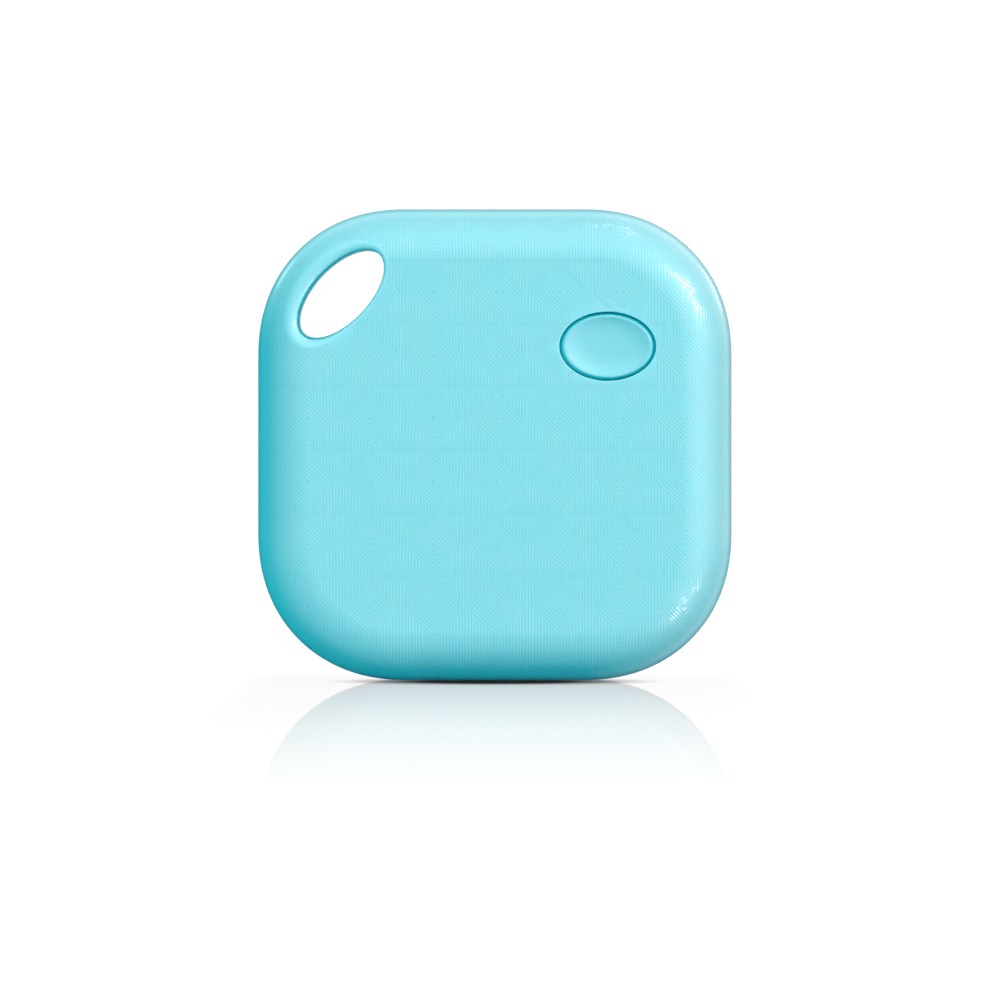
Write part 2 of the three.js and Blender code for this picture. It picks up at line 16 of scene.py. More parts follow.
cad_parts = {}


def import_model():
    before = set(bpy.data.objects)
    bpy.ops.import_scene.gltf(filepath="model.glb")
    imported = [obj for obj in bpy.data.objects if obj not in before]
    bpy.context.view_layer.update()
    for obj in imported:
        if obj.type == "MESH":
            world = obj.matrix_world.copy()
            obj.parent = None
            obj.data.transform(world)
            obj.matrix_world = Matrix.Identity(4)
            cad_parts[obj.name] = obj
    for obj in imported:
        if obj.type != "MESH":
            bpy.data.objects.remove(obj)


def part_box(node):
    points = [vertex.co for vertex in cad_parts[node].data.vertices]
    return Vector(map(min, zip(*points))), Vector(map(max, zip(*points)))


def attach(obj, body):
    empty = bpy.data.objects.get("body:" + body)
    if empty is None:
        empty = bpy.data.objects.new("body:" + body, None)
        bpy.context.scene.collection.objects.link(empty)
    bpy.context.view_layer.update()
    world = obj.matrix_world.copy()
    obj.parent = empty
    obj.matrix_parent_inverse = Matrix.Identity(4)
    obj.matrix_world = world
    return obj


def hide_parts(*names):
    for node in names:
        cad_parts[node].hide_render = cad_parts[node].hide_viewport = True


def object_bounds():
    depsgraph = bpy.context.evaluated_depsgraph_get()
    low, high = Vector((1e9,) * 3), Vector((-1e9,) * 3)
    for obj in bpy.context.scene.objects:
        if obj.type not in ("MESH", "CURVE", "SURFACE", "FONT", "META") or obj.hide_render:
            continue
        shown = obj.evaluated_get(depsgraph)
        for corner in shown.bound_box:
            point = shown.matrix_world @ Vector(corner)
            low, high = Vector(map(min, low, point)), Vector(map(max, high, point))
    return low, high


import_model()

CAD_LOW, CAD_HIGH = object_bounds()
MM = 0.001
WIDTH, DEPTH, HEIGHT = ((high - low) / MM for low, high in zip(CAD_LOW, CAD_HIGH))
CASE_TO_ROW = (
    Matrix.Translation((0, 0, CAD_HIGH.z / 2)) @ Matrix.Rotation(math.pi / 2, 4, "X") @ Matrix.Scale(MM, 4)
)
ROW_TO_CASE = CASE_TO_ROW.inverted()


def node_centre(node):
    """The middle of a CAD node, in the case frame."""
    low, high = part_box(node)
    return ROW_TO_CASE @ ((low + high) / 2)


# ---- sizes

CORNER_RADIUS = 11.66
CORNER_EXPONENT = 2.15
CORNER_STEPS = 36
TURN_STEPS = 720
TINY, WELD, NEAR = 1e-9, 1e-5, 0.01
STRAIGHT_STEPS = 16
FRONT, REAR = DEPTH / 2, -DEPTH / 2
SEAM_FRONT, SEAM_REAR = -0.27, -0.43
EDGE_BREAK = 0.08
# How the seam's edge is broken, as steps inwards and up
BROKEN_EDGE = [(0.25 * EDGE_BREAK, 0.4 * EDGE_BREAK), (EDGE_BREAK, 0)]
SIDE_WALL, FRONT_WALL, REAR_WALL = 1.2, 1.0, 1.15
TONGUE = {"outer": 1.35, "inner": 2.0, "top": 0.8}
REBATE = {"outer": 0.6, "top": 0.2}

EYELET = {"x": -12.03, "y": 11.835, "long": 4.27, "short": 2.14, "tilt": 0.815}
EYELET_STEPS = 96
RIM_STEPS = 16
EYELET_WALL = 1.1
FRONT_DRAFT, REAR_FLARE = -0.1, 0.25
ROUNDING_TIGHT, ROUNDING_WIDE = 0.24, 1.3
RIM_DEPTH = 0.8
FARTHEST, HALVINGS = 60.0, 50
ROUNDING_TOWARDS = math.radians(170)

BUTTON = node_centre("button_cap")
BUTTON_HALF = (3.6, 2.52)
BUTTON_GAP = 0.18
APERTURE_ROUNDING = 0.09
DOOR = node_centre("battery_door")
DOOR_RADIUS, DOOR_GAP = 11.7, 0.15

# The relief: square tiles of vertical ridges, each with nested diamonds in its middle
TILE = 4.96
TILE_X, TILE_Y = 0.111, 1.985
RIDGES = 20
RIDGE_PITCH = TILE / RIDGES
DIAMOND = (2.35, 2.18)
DIAMOND_STEPS = 13
DIAMOND_MARGIN = 0.5
TILE_GROOVE, TILE_GROOVE_SHARE = 0.14, 0.6
RELIEF_DEPTH = 0.01
RELIEF_FADE = 0.12
RELIEF_FADE_TILT = (math.radians(50), math.radians(68))
LINE_STEP = 0.4


# ---- outlines

def quarter(steps):
    """The angles of a quarter turn, both ends among them."""
    return [step / steps * math.pi / 2 for step in range(steps + 1)]


def case_outline(inset):
    """The case's soft-square outline, moved in by inset."""
    radius = CORNER_RADIUS - inset
    centre = np.array([WIDTH / 2 - CORNER_RADIUS, HEIGHT / 2 - CORNER_RADIUS])
    points = []
    for corner, side in enumerate([(1, 1), (-1, 1), (-1, -1), (1, -1)]):
        for step in range(CORNER_STEPS + 1):
            angle = (corner + step / CORNER_STEPS) * math.pi / 2
            bow = np.abs([math.cos(angle), math.sin(angle)]).round(12) ** (2 / CORNER_EXPONENT)
            points.append(np.array(side) * (centre + radius * bow))
    straights = []
    for i, point in enumerate(points):
        straights.append(point)
        if i % (CORNER_STEPS + 1) == CORNER_STEPS:
            after = points[(i + 1) % len(points)]
            straights += [point + (after - point) * k / STRAIGHT_STEPS for k in range(1, STRAIGHT_STEPS)]
    return np.array(straights)


def oval(long, short, tilt=0.0, x=0.0, y=0.0, steps=EYELET_STEPS):
    angles = np.arange(steps) * 2 * math.pi / steps
    across, up = long * np.cos(angles), short * np.sin(angles)
    turn = np.array([[math.cos(tilt), math.sin(tilt)], [-math.sin(tilt), math.cos(tilt)]])
    return np.stack([across, up], 1) @ turn + (x, y)


class OvalHole:
    """An oval hole with a rounded rim of changing width, which narrows by its draft towards the seam."""

    def __init__(self, x, y, long, short, tilt, rounding, steps, draft=0.0):
        self.x, self.y, self.long, self.short, self.tilt = x, y, long, short, tilt
        self.rounding, self.steps, self.draft = rounding, steps, draft

    def own(self, points):
        """Points as seen along and across the hole, from its middle."""
        cos, sin = math.cos(self.tilt), math.sin(self.tilt)
        dx, dy = points[:, 0] - self.x, points[:, 1] - self.y
        return dx * cos + dy * sin, dy * cos - dx * sin

    def placed(self, across, up):
        cos, sin = math.cos(self.tilt), math.sin(self.tilt)
        return np.stack([self.x + across * cos - up * sin, self.y + across * sin + up * cos], 1)

    def at_seam(self, points):
        """Where the hole's wall reaches the seam, from its points at the rim."""
        across, up = self.own(points)
        return self.placed(across * (1 - self.draft / self.long), up * (1 - self.draft / self.short))

    def ring(self, share):
        """The points where the rim's rounding is done to that share of its width."""
        angles = np.arange(self.steps) * 2 * math.pi / self.steps
        grow = share * self.rounding(angles + self.tilt)
        return self.placed((self.long + grow) * np.cos(angles), (self.short + grow) * np.sin(angles))

    def distance(self, points):
        """How far outside the hole each point is, and the rounding's width there."""
        across, up = self.own(points)
        low, high = np.full(len(points), -0.9 * self.short), np.full(len(points), FARTHEST)
        for _ in range(HALVINGS):
            middle = (low + high) / 2
            outside = (across / (self.long + middle)) ** 2 + (up / (self.short + middle)) ** 2 > 1
            low, high = np.where(outside, middle, low), np.where(outside, high, middle)
        angle = np.arctan2(up / (self.short + low), across / (self.long + low))
        return low, self.rounding(angle + self.tilt)

    def drop(self, points):
        """How far the rounding takes the surface down at each point."""
        away, width = self.distance(points)
        share = np.clip(1 - away / width, 0, 1)
        return RIM_DEPTH * width * (1 - np.sqrt(1 - share**2))


def eyelet_rounding(angle):
    """Wide on the side of the case's corner, where the eyelet is a rounded bar, and tight elsewhere."""
    share = (1 + np.cos(angle - ROUNDING_TOWARDS)) / 2
    return ROUNDING_TIGHT + (ROUNDING_WIDE - ROUNDING_TIGHT) * share * share * (3 - 2 * share)


def even_rounding(width):
    return lambda angle: np.full(np.shape(angle), width)


EYELET_FRONT, EYELET_REAR = (
    OvalHole(EYELET["x"], EYELET["y"], EYELET["long"] + flare, EYELET["short"] + flare, EYELET["tilt"],
             eyelet_rounding, EYELET_STEPS, FRONT_DRAFT + flare)
    for flare in (0, REAR_FLARE)
)
BUTTON_HOLE = OvalHole(
    BUTTON.x, BUTTON.y, BUTTON_HALF[0] + BUTTON_GAP, BUTTON_HALF[1] + BUTTON_GAP, 0.0,
    even_rounding(APERTURE_ROUNDING), 112,
)
DOOR_HOLE = OvalHole(
    DOOR.x, DOOR.y, DOOR_RADIUS + DOOR_GAP, DOOR_RADIUS + DOOR_GAP, 0.0, even_rounding(0.18), 160
)


# ---- the case's outside

def smooth(value, low, high):
    share = np.clip((value - low) / (high - low), 0, 1)
    return share * share * (3 - 2 * share)


class RolledFace:
    """The outside of one half of the case, laid out flat: the face, then the rolled edge and the side band
    by their length along the surface. Heights are counted from the middle of the case outwards."""

    def __init__(self, roll_width, roll_depth, face, seam, relief):
        self.width, self.depth, self.seam, self.relief = roll_width, roll_depth, seam, relief
        self.widest = face - roll_depth
        self.flat = CORNER_RADIUS - roll_width
        self.turn = np.linspace(0, math.pi / 2, TURN_STEPS + 1)
        step = np.hypot(roll_width * np.cos(self.turn), roll_depth * np.sin(self.turn))
        self.length = np.concatenate([[0], np.cumsum((step[1:] + step[:-1]) / 2 * np.diff(self.turn))])
        self.reach = self.flat + self.length[-1] + self.widest - seam - EDGE_BREAK
        self.fade = self.flat + np.interp(RELIEF_FADE_TILT, self.turn, self.length)
        self.centre = np.array([WIDTH / 2 - CORNER_RADIUS, HEIGHT / 2 - CORNER_RADIUS])

    def split(self, points):
        """Each point's offset from its corner's centre, and its length in the outline's own measure."""
        offset = np.maximum(np.abs(points) - self.centre, 0)
        return offset, (offset**CORNER_EXPONENT).sum(1) ** (1 / CORNER_EXPONENT)

    def resize(self, points, radius_from, radius_to, offset):
        scale = np.where(radius_from > TINY, radius_to / np.maximum(radius_from, TINY), 1)
        moved = np.sign(points) * (self.centre + offset * scale[:, None])
        return np.where(offset > 0, moved, points)

    def lay_flat(self, points):
        """From x and y in the case frame to the flat layout."""
        offset, radius = self.split(points)
        turn = np.arcsin(np.clip((radius - self.flat) / self.width, 0, 1))
        along = np.where(radius > self.flat, self.flat + np.interp(turn, self.turn, self.length), radius)
        return self.resize(points, radius, along, offset)

    def roll_up(self, flat_points):
        """From the flat layout to positions and normals in the case frame."""
        offset, along = self.split(flat_points)
        run = np.clip(along - self.flat, 0, None)
        turn = np.interp(run, self.length, self.turn)
        radius = np.where(run > 0, self.flat + self.width * np.sin(turn), along)
        xy = self.resize(flat_points, along, radius, offset)
        z = self.widest + self.depth * np.cos(turn) - np.clip(run - self.length[-1], 0, None)
        slope = offset ** (CORNER_EXPONENT - 1)
        slope = slope / np.maximum(np.linalg.norm(slope, axis=1, keepdims=True), TINY)
        out = self.depth * np.sin(turn)
        up = self.width * np.cos(turn)
        normal = np.column_stack([np.sign(flat_points) * slope * out[:, None], up])
        normal /= np.linalg.norm(normal, axis=1, keepdims=True)
        return np.column_stack([xy, z]), normal

    def band(self, along):
        """A loop of the flat layout at one distance in the outline's own measure."""
        edge = case_outline(0)
        offset, radius = self.split(edge)
        return self.resize(edge, radius, np.full(len(edge), along), offset)


def relief_depth(flat_points):
    """The pattern's depth at each point of the flat layout: 0 on the ridges, 1 in the grooves."""
    x = np.abs((flat_points[:, 0] - TILE_X + TILE / 2) % TILE - TILE / 2)
    y = np.abs((flat_points[:, 1] - TILE_Y + TILE / 2) % TILE - TILE / 2)
    ring = (x / DIAMOND[0] + y / DIAMOND[1]) * DIAMOND_STEPS
    in_diamond = 1 - np.abs(1 - ring % 2)
    in_ridges = np.abs(1 - 2 * ((x / RIDGE_PITCH) % 1))
    edge = 1 - (ring - DIAMOND_STEPS) / DIAMOND_MARGIN
    groove = TILE_GROOVE_SHARE * (1 - (TILE / 2 - y) / TILE_GROOVE)
    outside = np.clip(np.maximum(np.maximum(in_ridges, edge), groove), 0, 1)
    return np.where(ring < DIAMOND_STEPS, in_diamond, outside)


def tile_lines():
    """Every ridge and groove of one tile, as pairs of points about its middle."""
    half = TILE / 2
    lines = []
    for i in range(2 * RIDGES + 1):
        x = -half + i * RIDGE_PITCH / 2
        edge = DIAMOND[1] * (1 - abs(x) / DIAMOND[0])
        if edge > 0:
            lines += [((x, edge), (x, half)), ((x, -half), (x, -edge))]
        else:
            lines.append(((x, -half), (x, half)))
    for ring in [*range(1, DIAMOND_STEPS + 1), DIAMOND_STEPS + DIAMOND_MARGIN]:
        across, up = (size * ring / DIAMOND_STEPS for size in DIAMOND)
        corners = [(across, 0), (0, up), (-across, 0), (0, -up)]
        lines += [(corners[k], corners[(k + 1) % 4]) for k in range(4)]
    for y in (half, half - TILE_GROOVE, TILE_GROOVE - half):
        lines.append(((-half, y), (half, y)))
    return lines


class Layout:
    """Points and edges to be triangulated together."""

    def __init__(self):
        self.points, self.edges = [], []

    def loop(self, points):
        start, count = len(self.points), len(points)
        self.points += [Vector(p) for p in points]
        self.edges += [(start + i, start + (i + 1) % count) for i in range(count)]

    def line(self, a, b, pieces):
        start = len(self.points)
        self.edges += [(start + i, start + i + 1) for i in range(pieces)]
        self.points += [Vector(a + (b - a) * i / pieces) for i in range(pieces + 1)]

    def triangles(self):
        verts, _, faces, *_ = delaunay_2d_cdt(self.points, self.edges, [], 0, WELD, False)
        return np.array([v[:] for v in verts]), np.array(faces)


def add_relief(layout, surface):
    """The pattern's lines, out to where it has faded."""
    reach = surface.centre + surface.reach
    count = [math.ceil(r / TILE) + 1 for r in reach]
    lines = tile_lines()
    for column in range(-count[0], count[0] + 1):
        for row in range(-count[1], count[1] + 1):
            middle = np.array([TILE_X + column * TILE, TILE_Y + row * TILE])
            for a, b in lines:
                a, b = middle + a, middle + b
                ends = surface.split(np.array([a, b]))[1]
                if ends.min() < surface.fade[1]:
                    on_edge = ends.max() > surface.flat
                    layout.line(a, b, math.ceil(np.linalg.norm(b - a) / LINE_STEP) if on_edge else 1)


def boundary_loops(faces):
    """The loops of edges that have a face on one side only, as lists of vertex numbers."""
    follow = {}
    edges = {(a, b) for f in faces for a, b in zip(f, np.roll(f, -1))}
    for a, b in edges:
        if (b, a) not in edges:
            follow[a] = b
    loops = []
    while follow:
        loop = [next(iter(follow))]
        while loop[-1] in follow:
            after = follow.pop(loop[-1])
            if after != loop[0]:
                loop.append(after)
        loops.append(loop)
    return loops


def outer_solid(name, surface, holes, rings):
    """A closed solid whose top is the rolled face, with its holes right through and a flat underside."""
    layout = Layout()
    for ring in range(rings + 1):
        layout.loop(surface.band(surface.flat + ring / rings * surface.length[-1]))
    layout.loop(surface.band(surface.reach))
    for hole in holes:
        for turn in quarter(RIM_STEPS):
            layout.loop(surface.lay_flat(hole.ring(1 - math.cos(turn))))
    if surface.relief:
        add_relief(layout, surface)
    flat, faces = layout.triangles()
    middles = flat[faces].mean(1)
    keep = encloses(surface.band(surface.reach), middles)
    for hole in holes:
        keep &= ~encloses(surface.lay_flat(hole.ring(0)), middles)
    faces = faces[keep]
    used, faces = np.unique(faces, return_inverse=True)
    faces = faces.reshape(-1, 3)
    flat = flat[used]
    places, normals = surface.roll_up(flat)
    groove = np.zeros(len(flat))
    if surface.relief:
        groove = relief_depth(flat) * (1 - smooth(surface.split(flat)[1], *surface.fade))
    for hole in holes:
        away, width = hole.distance(places[:, :2])
        groove *= smooth(away - width, 0, RELIEF_FADE)
        places[:, 2] -= hole.drop(places[:, :2])
    places -= normals * groove[:, None] * RELIEF_DEPTH
    solid = closed_solid(name, places, faces, surface, holes)
    values = np.zeros(len(solid.data.vertices))
    values[:len(groove)] = groove
    solid.data.attributes.new("groove", "FLOAT", "POINT").data.foreach_set("value", values)
    return solid


def closed_solid(name, places, faces, surface, holes):
    """Carries the boundary of an open face straight down to the seam and closes it there."""
    verts, polygons, ends = list(places), [tuple(f) for f in faces], []
    for last in boundary_loops(faces):
        xy = np.array(places)[last][:, :2]
        offset, radius = surface.split(xy)
        outer = radius.min() > CORNER_RADIUS - NEAR
        for hole in holes:
            if not outer and np.abs(hole.distance(xy[:1])[0]) < NEAR:
                xy = hole.at_seam(xy)
        for inset, rise in BROKEN_EDGE if outer else [(0, 0)]:
            ring = surface.resize(xy, radius, radius - inset, offset) if inset else xy
            now = list(range(len(verts), len(verts) + len(ring)))
            verts += [np.array([x, y, surface.seam + rise]) for x, y in ring]
            after = last[1:] + last[:1], now[1:] + now[:1]
            polygons += [(b, a, c, d) for a, b, c, d in zip(last, after[0], now, after[1])]
            last = now
        ends.append(last)
    rings = [[verts[i][:2] for i in end] for end in ends]
    layout = Layout()
    for ring in rings:
        layout.loop(ring)
    order = [i for end in ends for i in end]
    points, _, caps, source, *_ = delaunay_2d_cdt(layout.points, layout.edges, [], 0, WELD / 10, True)
    number = [order[s[0]] for s in source]
    middles = np.array([[points[i][:] for i in cap] for cap in caps]).mean(1)
    rings.sort(key=lambda ring: -np.ptp(np.array(ring)[:, 0]))
    keep = encloses(rings[0], middles)
    for ring in rings[1:]:
        keep &= ~encloses(ring, middles)
    polygons += [tuple(number[i] for i in reversed(caps[k])) for k in np.flatnonzero(keep)]
    return mesh_object(name, verts, polygons)


def encloses(loop, points):
    """Whether a closed loop goes round each point."""
    inside = np.zeros(len(points), bool)
    for (ax, ay), (bx, by) in zip(loop, np.roll(loop, -1, 0)):
        if ay != by:
            crossing = (ay > points[:, 1]) != (by > points[:, 1])
            inside ^= crossing & (ax + (points[:, 1] - ay) / (by - ay) * (bx - ax) > points[:, 0])
    return inside


# ---- mesh helpers

def mesh_object(name, verts, faces):
    mesh = bpy.data.meshes.new(name)
    mesh.from_pydata([tuple(v) for v in verts], [], [tuple(int(i) for i in f) for f in faces])
    mesh.validate()
    piece = bpy.data.objects.new(name, mesh)
    bpy.context.scene.collection.objects.link(piece)
    return piece


def loft(name, sections, closed=False):
    """A skin through outlines with the same number of points, each at its own height. It is capped at both
    ends, or closed on itself."""
    count, levels = len(sections[0][0]), len(sections)
    verts = [(x, y, z) for outline, z in sections for x, y in outline]
    faces = [] if closed else [tuple(reversed(range(count)))]
    for level in range(levels if closed else levels - 1):
        low, high = level * count, (level + 1) % levels * count
        faces += [(low + i, low + (i + 1) % count, high + (i + 1) % count, high + i) for i in range(count)]
    if not closed:
        faces.append(tuple(range((levels - 1) * count, levels * count)))
    return mesh_object(name, verts, faces)


def prism(name, outline, bottom, top):
    return loft(name, [(outline, bottom), (outline, top)])


def at(piece, x, y, turn=0.0):
    piece.data.transform(Matrix.Translation((x, y, 0)) @ Matrix.Rotation(turn, 4, "Z"))
    return piece


def disc(radius, bottom, top, x=0.0, y=0.0, steps=48):
    return prism("disc", oval(radius, radius, 0, x, y, steps), bottom, top)


def block(width, height, bottom, top, edge=0.06):
    """A box with its edges and corners rounded over."""
    corners = [(x * width / 2, y * height / 2) for x, y in [(-1, -1), (1, -1), (1, 1), (-1, 1)]]
    piece = prism("block", corners, bottom, top)
    modifier = piece.modifiers.new("edge", "BEVEL")
    modifier.width, modifier.segments, modifier.limit_method = edge, 3, "ANGLE"
    modifier.angle_limit = math.radians(40)
    apply_modifiers(piece)
    return piece


def arc(centre_r, centre_z, radius, start, end, steps=6):
    """Points on a quarter or so of a circle, for a turned profile; angles in degrees from +r to +z."""
    turns = np.radians(np.linspace(start, end, steps + 1))
    return [(centre_r + radius * math.cos(t), centre_z + radius * math.sin(t)) for t in turns]


def turned(name, profile, steps=96, scale_y=1.0):
    """A closed turned solid. The profile runs from the axis, round the outside and back to the axis, or
    closes on itself."""
    verts, faces, rings = [], [], []
    for radius, z in profile:
        if radius < TINY:
            rings.append([len(verts)])
            verts.append((0, 0, z))
            continue
        rings.append(list(range(len(verts), len(verts) + steps)))
        for i in range(steps):
            angle = 2 * math.pi * i / steps
            verts.append((radius * math.cos(angle), scale_y * radius * math.sin(angle), z))
    pairs = list(zip(rings, rings[1:]))
    if len(rings[0]) > 1:
        pairs.append((rings[-1], rings[0]))
    for low, high in pairs:
        for i in range(steps):
            j = (i + 1) % steps
            corners = [low[i % len(low)], low[j % len(low)], high[j % len(high)], high[i % len(high)]]
            face = list(dict.fromkeys(corners))
            if len(face) > 2:
                faces.append(face)
    return mesh_object(name, verts, faces)


def boolean(piece, operation, tools):
    """Joins or cuts a piece with other solids, which are used up."""
    for tool in tools:
        modifier = piece.modifiers.new("cut", "BOOLEAN")
        modifier.operation, modifier.solver, modifier.object = operation, "MANIFOLD", tool
    apply_modifiers(piece)
    for tool in tools:
        bpy.data.objects.remove(tool)
    return piece


def cut(piece, *tools):
    return boolean(piece, "DIFFERENCE", tools)


def fused(piece, *tools):
    return boolean(piece, "UNION", tools)


def apply_modifiers(piece):
    graph = bpy.context.evaluated_depsgraph_get()
    mesh = bpy.data.meshes.new_from_object(piece.evaluated_get(graph))
    piece.modifiers.clear()
    piece.data = mesh


def shade(piece, angle):
    """Smooth shading, with an edge kept sharp where it turns by more than the angle, in degrees."""
    piece.data.polygons.foreach_set("use_smooth", [True] * len(piece.data.polygons))
    piece.data.set_sharp_from_angle(angle=math.radians(angle))


def line_gap(piece, material, reaches):
    """Gives the faces round the button's gap a second material, painted lighter to stand in for light, by a
    test of their middle and normal.
    """
    piece.data.materials.append(material)
    for face in piece.data.polygons:
        middle = ROW_TO_CASE @ face.center
        if reaches(middle, abs(face.normal.y)):
            face.material_index = len(piece.data.materials) - 1


# The part of a normal along one axis from which a face counts as level or upright
FLAT = 0.99995


def keep_flat(piece):
    """Edges round the piece's level and upright faces kept sharp, so that no shading creeps onto them."""
    shape = bmesh.new()
    shape.from_mesh(piece.data)
    for edge in shape.edges:
        if len({max(map(abs, face.normal)) > FLAT for face in edge.link_faces}) == 2:
            edge.smooth = False
    shape.to_mesh(piece.data)
    shape.free()


def with_material(piece, material):
    piece.data.materials.clear()
    piece.data.materials.append(material)
    return piece


def place(piece, body, slot, node, sharp=30):
    """Takes a piece from the case frame to the row frame and puts it in its CAD node's place. If it has no
    material, it gets the one named after its slot."""
    piece.data.transform(CASE_TO_ROW)
    shade(piece, sharp)
    if not any(piece.data.materials):
        with_material(piece, MATERIALS[slot])
    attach(piece, body)
    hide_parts(node)
    return piece


def place_on(x, y, piece, *rest, **how):
    return place(at(piece, x, y), *rest, **how)


# ---- materials

MICRON = 0.000001
MATERIALS = {}
NOISE_DETAIL, NOISE_ROUGHNESS = 3, 0.6
BLOTCH_SCALE, GRAIN_SCALE = 400, 9000


def add(tree, kind, sockets=None, **settings):
    """A shader node with its settings. Its sockets are given values, or linked to other nodes' outputs."""
    node = tree.nodes.new("ShaderNode" + kind)
    for name, value in settings.items():
        setattr(node, name, value)
    for socket, value in (sockets or {}).items():
        if isinstance(value, bpy.types.NodeSocket):
            tree.links.new(value, node.inputs[socket])
        else:
            node.inputs[socket].default_value = value
    return node


def sums(tree, operation, first, second=0):
    """A Math node's result from two outputs or numbers."""
    return add(tree, "Math", {0: first, 1: second}, operation=operation).outputs[0]


def between(tree, factor, low, high, start=0.3, end=0.7, kind="LINEAR"):
    """A number that goes from low to high as the factor goes from start to end."""
    sockets = {"Value": factor, "From Min": start, "From Max": end, "To Min": low, "To Max": high}
    return add(tree, "MapRange", sockets, interpolation_type=kind).outputs["Result"]


def new_material(name, **values):
    """A Principled material and its node tree. The values go straight on the shader's sockets."""
    material = bpy.data.materials.new(name)
    material.use_nodes = True
    shader = material.node_tree.nodes["Principled BSDF"]
    for socket, value in values.items():
        shader.inputs[socket.replace("_", " ")].default_value = value
    return material, material.node_tree, shader


def noise(tree, scale, stretch=None):
    """Noise over the piece's own coordinates, scale per metre, drawn out where stretch is below 1."""
    spot = add(tree, "TexCoord").outputs["Object"]
    if stretch:
        spot = add(tree, "Mapping", {"Vector": spot, "Scale": stretch}).outputs["Vector"]
    sockets = {"Vector": spot, "Scale": scale, "Detail": NOISE_DETAIL, "Roughness": NOISE_ROUGHNESS}
    return add(tree, "TexNoise", sockets).outputs["Fac"]


def tint(tree, factor, colour_a, colour_b):
    return add(tree, "Mix", {0: factor, 6: (*colour_a, 1), 7: (*colour_b, 1)}, data_type="RGBA").outputs[2]


def bump(tree, shader, height, distance):
    """Raises the surface by up to distance, in metres."""
    node = add(tree, "Bump", {"Height": height, "Distance": distance, "Strength": 1})
    tree.links.new(node.outputs["Normal"], shader.inputs["Normal"])


def surface(name, colour, other, gloss, grain, stretch=None, **values):
    """A material whose colour drifts between two, with a gloss range and a fine grain on top."""
    material, tree, shader = new_material(name, **values)
    slow, quick = noise(tree, BLOTCH_SCALE), noise(tree, GRAIN_SCALE, stretch)
    tree.links.new(tint(tree, between(tree, slow, 0, 1), colour, other), shader.inputs["Base Color"])
    tree.links.new(between(tree, slow, *gloss), shader.inputs["Roughness"])
    bump(tree, shader, quick, grain)
    MATERIALS[name] = material
    return material


def paint_shade_where(material, attribute, share, gloss_shade):
    """Painted shade: takes a material's colour and its gloss down by those shares where a piece's attribute
    is 1.
    """
    tree = material.node_tree
    shader = tree.nodes["Principled BSDF"]
    colour, level = shader.inputs["Base Color"], shader.inputs["Specular IOR Level"]
    spot = add(tree, "Attribute", attribute_name=attribute).outputs["Fac"]
    sockets = {0: colour.links[0].from_socket, "Scale": between(tree, spot, 1, 1 - share, 0, 1)}
    tree.links.new(add(tree, "VectorMath", sockets, operation="SCALE").outputs[0], colour)
    full = level.default_value
    tree.links.new(between(tree, spot, full, full * (1 - gloss_shade), 0, 1), level)


CASE_PLASTIC = surface(
    "case_plastic", (0.012, 0.52, 0.62), (0.012, 0.505, 0.605), (0.2, 0.25), 0.4 * MICRON,
    Specular_IOR_Level=1.0,
)
# Painted shade: the relief's grooves are painted darker and less glossy, on top of their real depth.
paint_shade_where(CASE_PLASTIC, "groove", share=0.13, gloss_shade=0.15)
surface(
    "button_plastic", (0.012, 0.49, 0.58), (0.012, 0.475, 0.565), (0.2, 0.24), 0.3 * MICRON,
    Specular_IOR_Level=0.85,
)
# Painted light: a lighter, barely glossy copy of the case plastic for the walls round the button, standing in
# for light that reaches into the gap.
GAP_PAINTED_LIGHT = surface(
    "gap_painted_light", (0.004, 0.74, 0.86), (0.004, 0.72, 0.84), (0.5, 0.6), 0.4 * MICRON,
    Specular_IOR_Level=0.05,
)
surface("black_rubber", (0.012, 0.013, 0.014), (0.02, 0.021, 0.022), (0.6, 0.8), 6 * MICRON)
BLACK_PLASTIC = surface(
    "black_plastic", (0.015, 0.016, 0.018), (0.022, 0.023, 0.025), (0.4, 0.55), 5 * MICRON
)
surface(
    "clear_silicone", (0.78, 0.84, 0.85), (0.7, 0.78, 0.8), (0.35, 0.5), 2 * MICRON,
    Transmission_Weight=0.5, Subsurface_Weight=0.2, Subsurface_Radius=(0.001, 0.001, 0.001),
)
SPRING_STEEL = surface(
    "spring_steel", (0.62, 0.62, 0.61), (0.55, 0.55, 0.56), (0.2, 0.32), 1.5 * MICRON,
    stretch=(1, 0.06, 0.06), Metallic=1,
)
surface(
    "cell_steel", (0.72, 0.72, 0.71), (0.66, 0.66, 0.66), (0.16, 0.26), 1.2 * MICRON,
    stretch=(0.05, 1, 1), Metallic=1,
)
surface(
    "sounder_brass", (0.78, 0.57, 0.24), (0.66, 0.45, 0.18), (0.2, 0.36), 1.5 * MICRON,
    stretch=(1, 0.05, 0.05), Metallic=1,
)
CERAMIC = surface("ceramic", (0.8, 0.77, 0.69), (0.72, 0.69, 0.62), (0.4, 0.55), 3 * MICRON)
CAPACITOR_TAN = surface("capacitor_tan", (0.33, 0.19, 0.09), (0.25, 0.14, 0.065), (0.4, 0.55), 3 * MICRON)
SOLDER = surface("solder", (0.72, 0.72, 0.72), (0.6, 0.6, 0.6), (0.2, 0.35), 4 * MICRON, Metallic=1)
COPPER = surface("gold_plate", (0.83, 0.6, 0.25), (0.75, 0.52, 0.2), (0.25, 0.4), 2 * MICRON, Metallic=1)
SILVER = surface("fired_silver", (0.78, 0.77, 0.74), (0.68, 0.67, 0.64), (0.45, 0.6), 3 * MICRON, Metallic=1)
LAMINATE = surface("board_edge", (0.42, 0.4, 0.2), (0.36, 0.33, 0.17), (0.6, 0.75), 6 * MICRON)


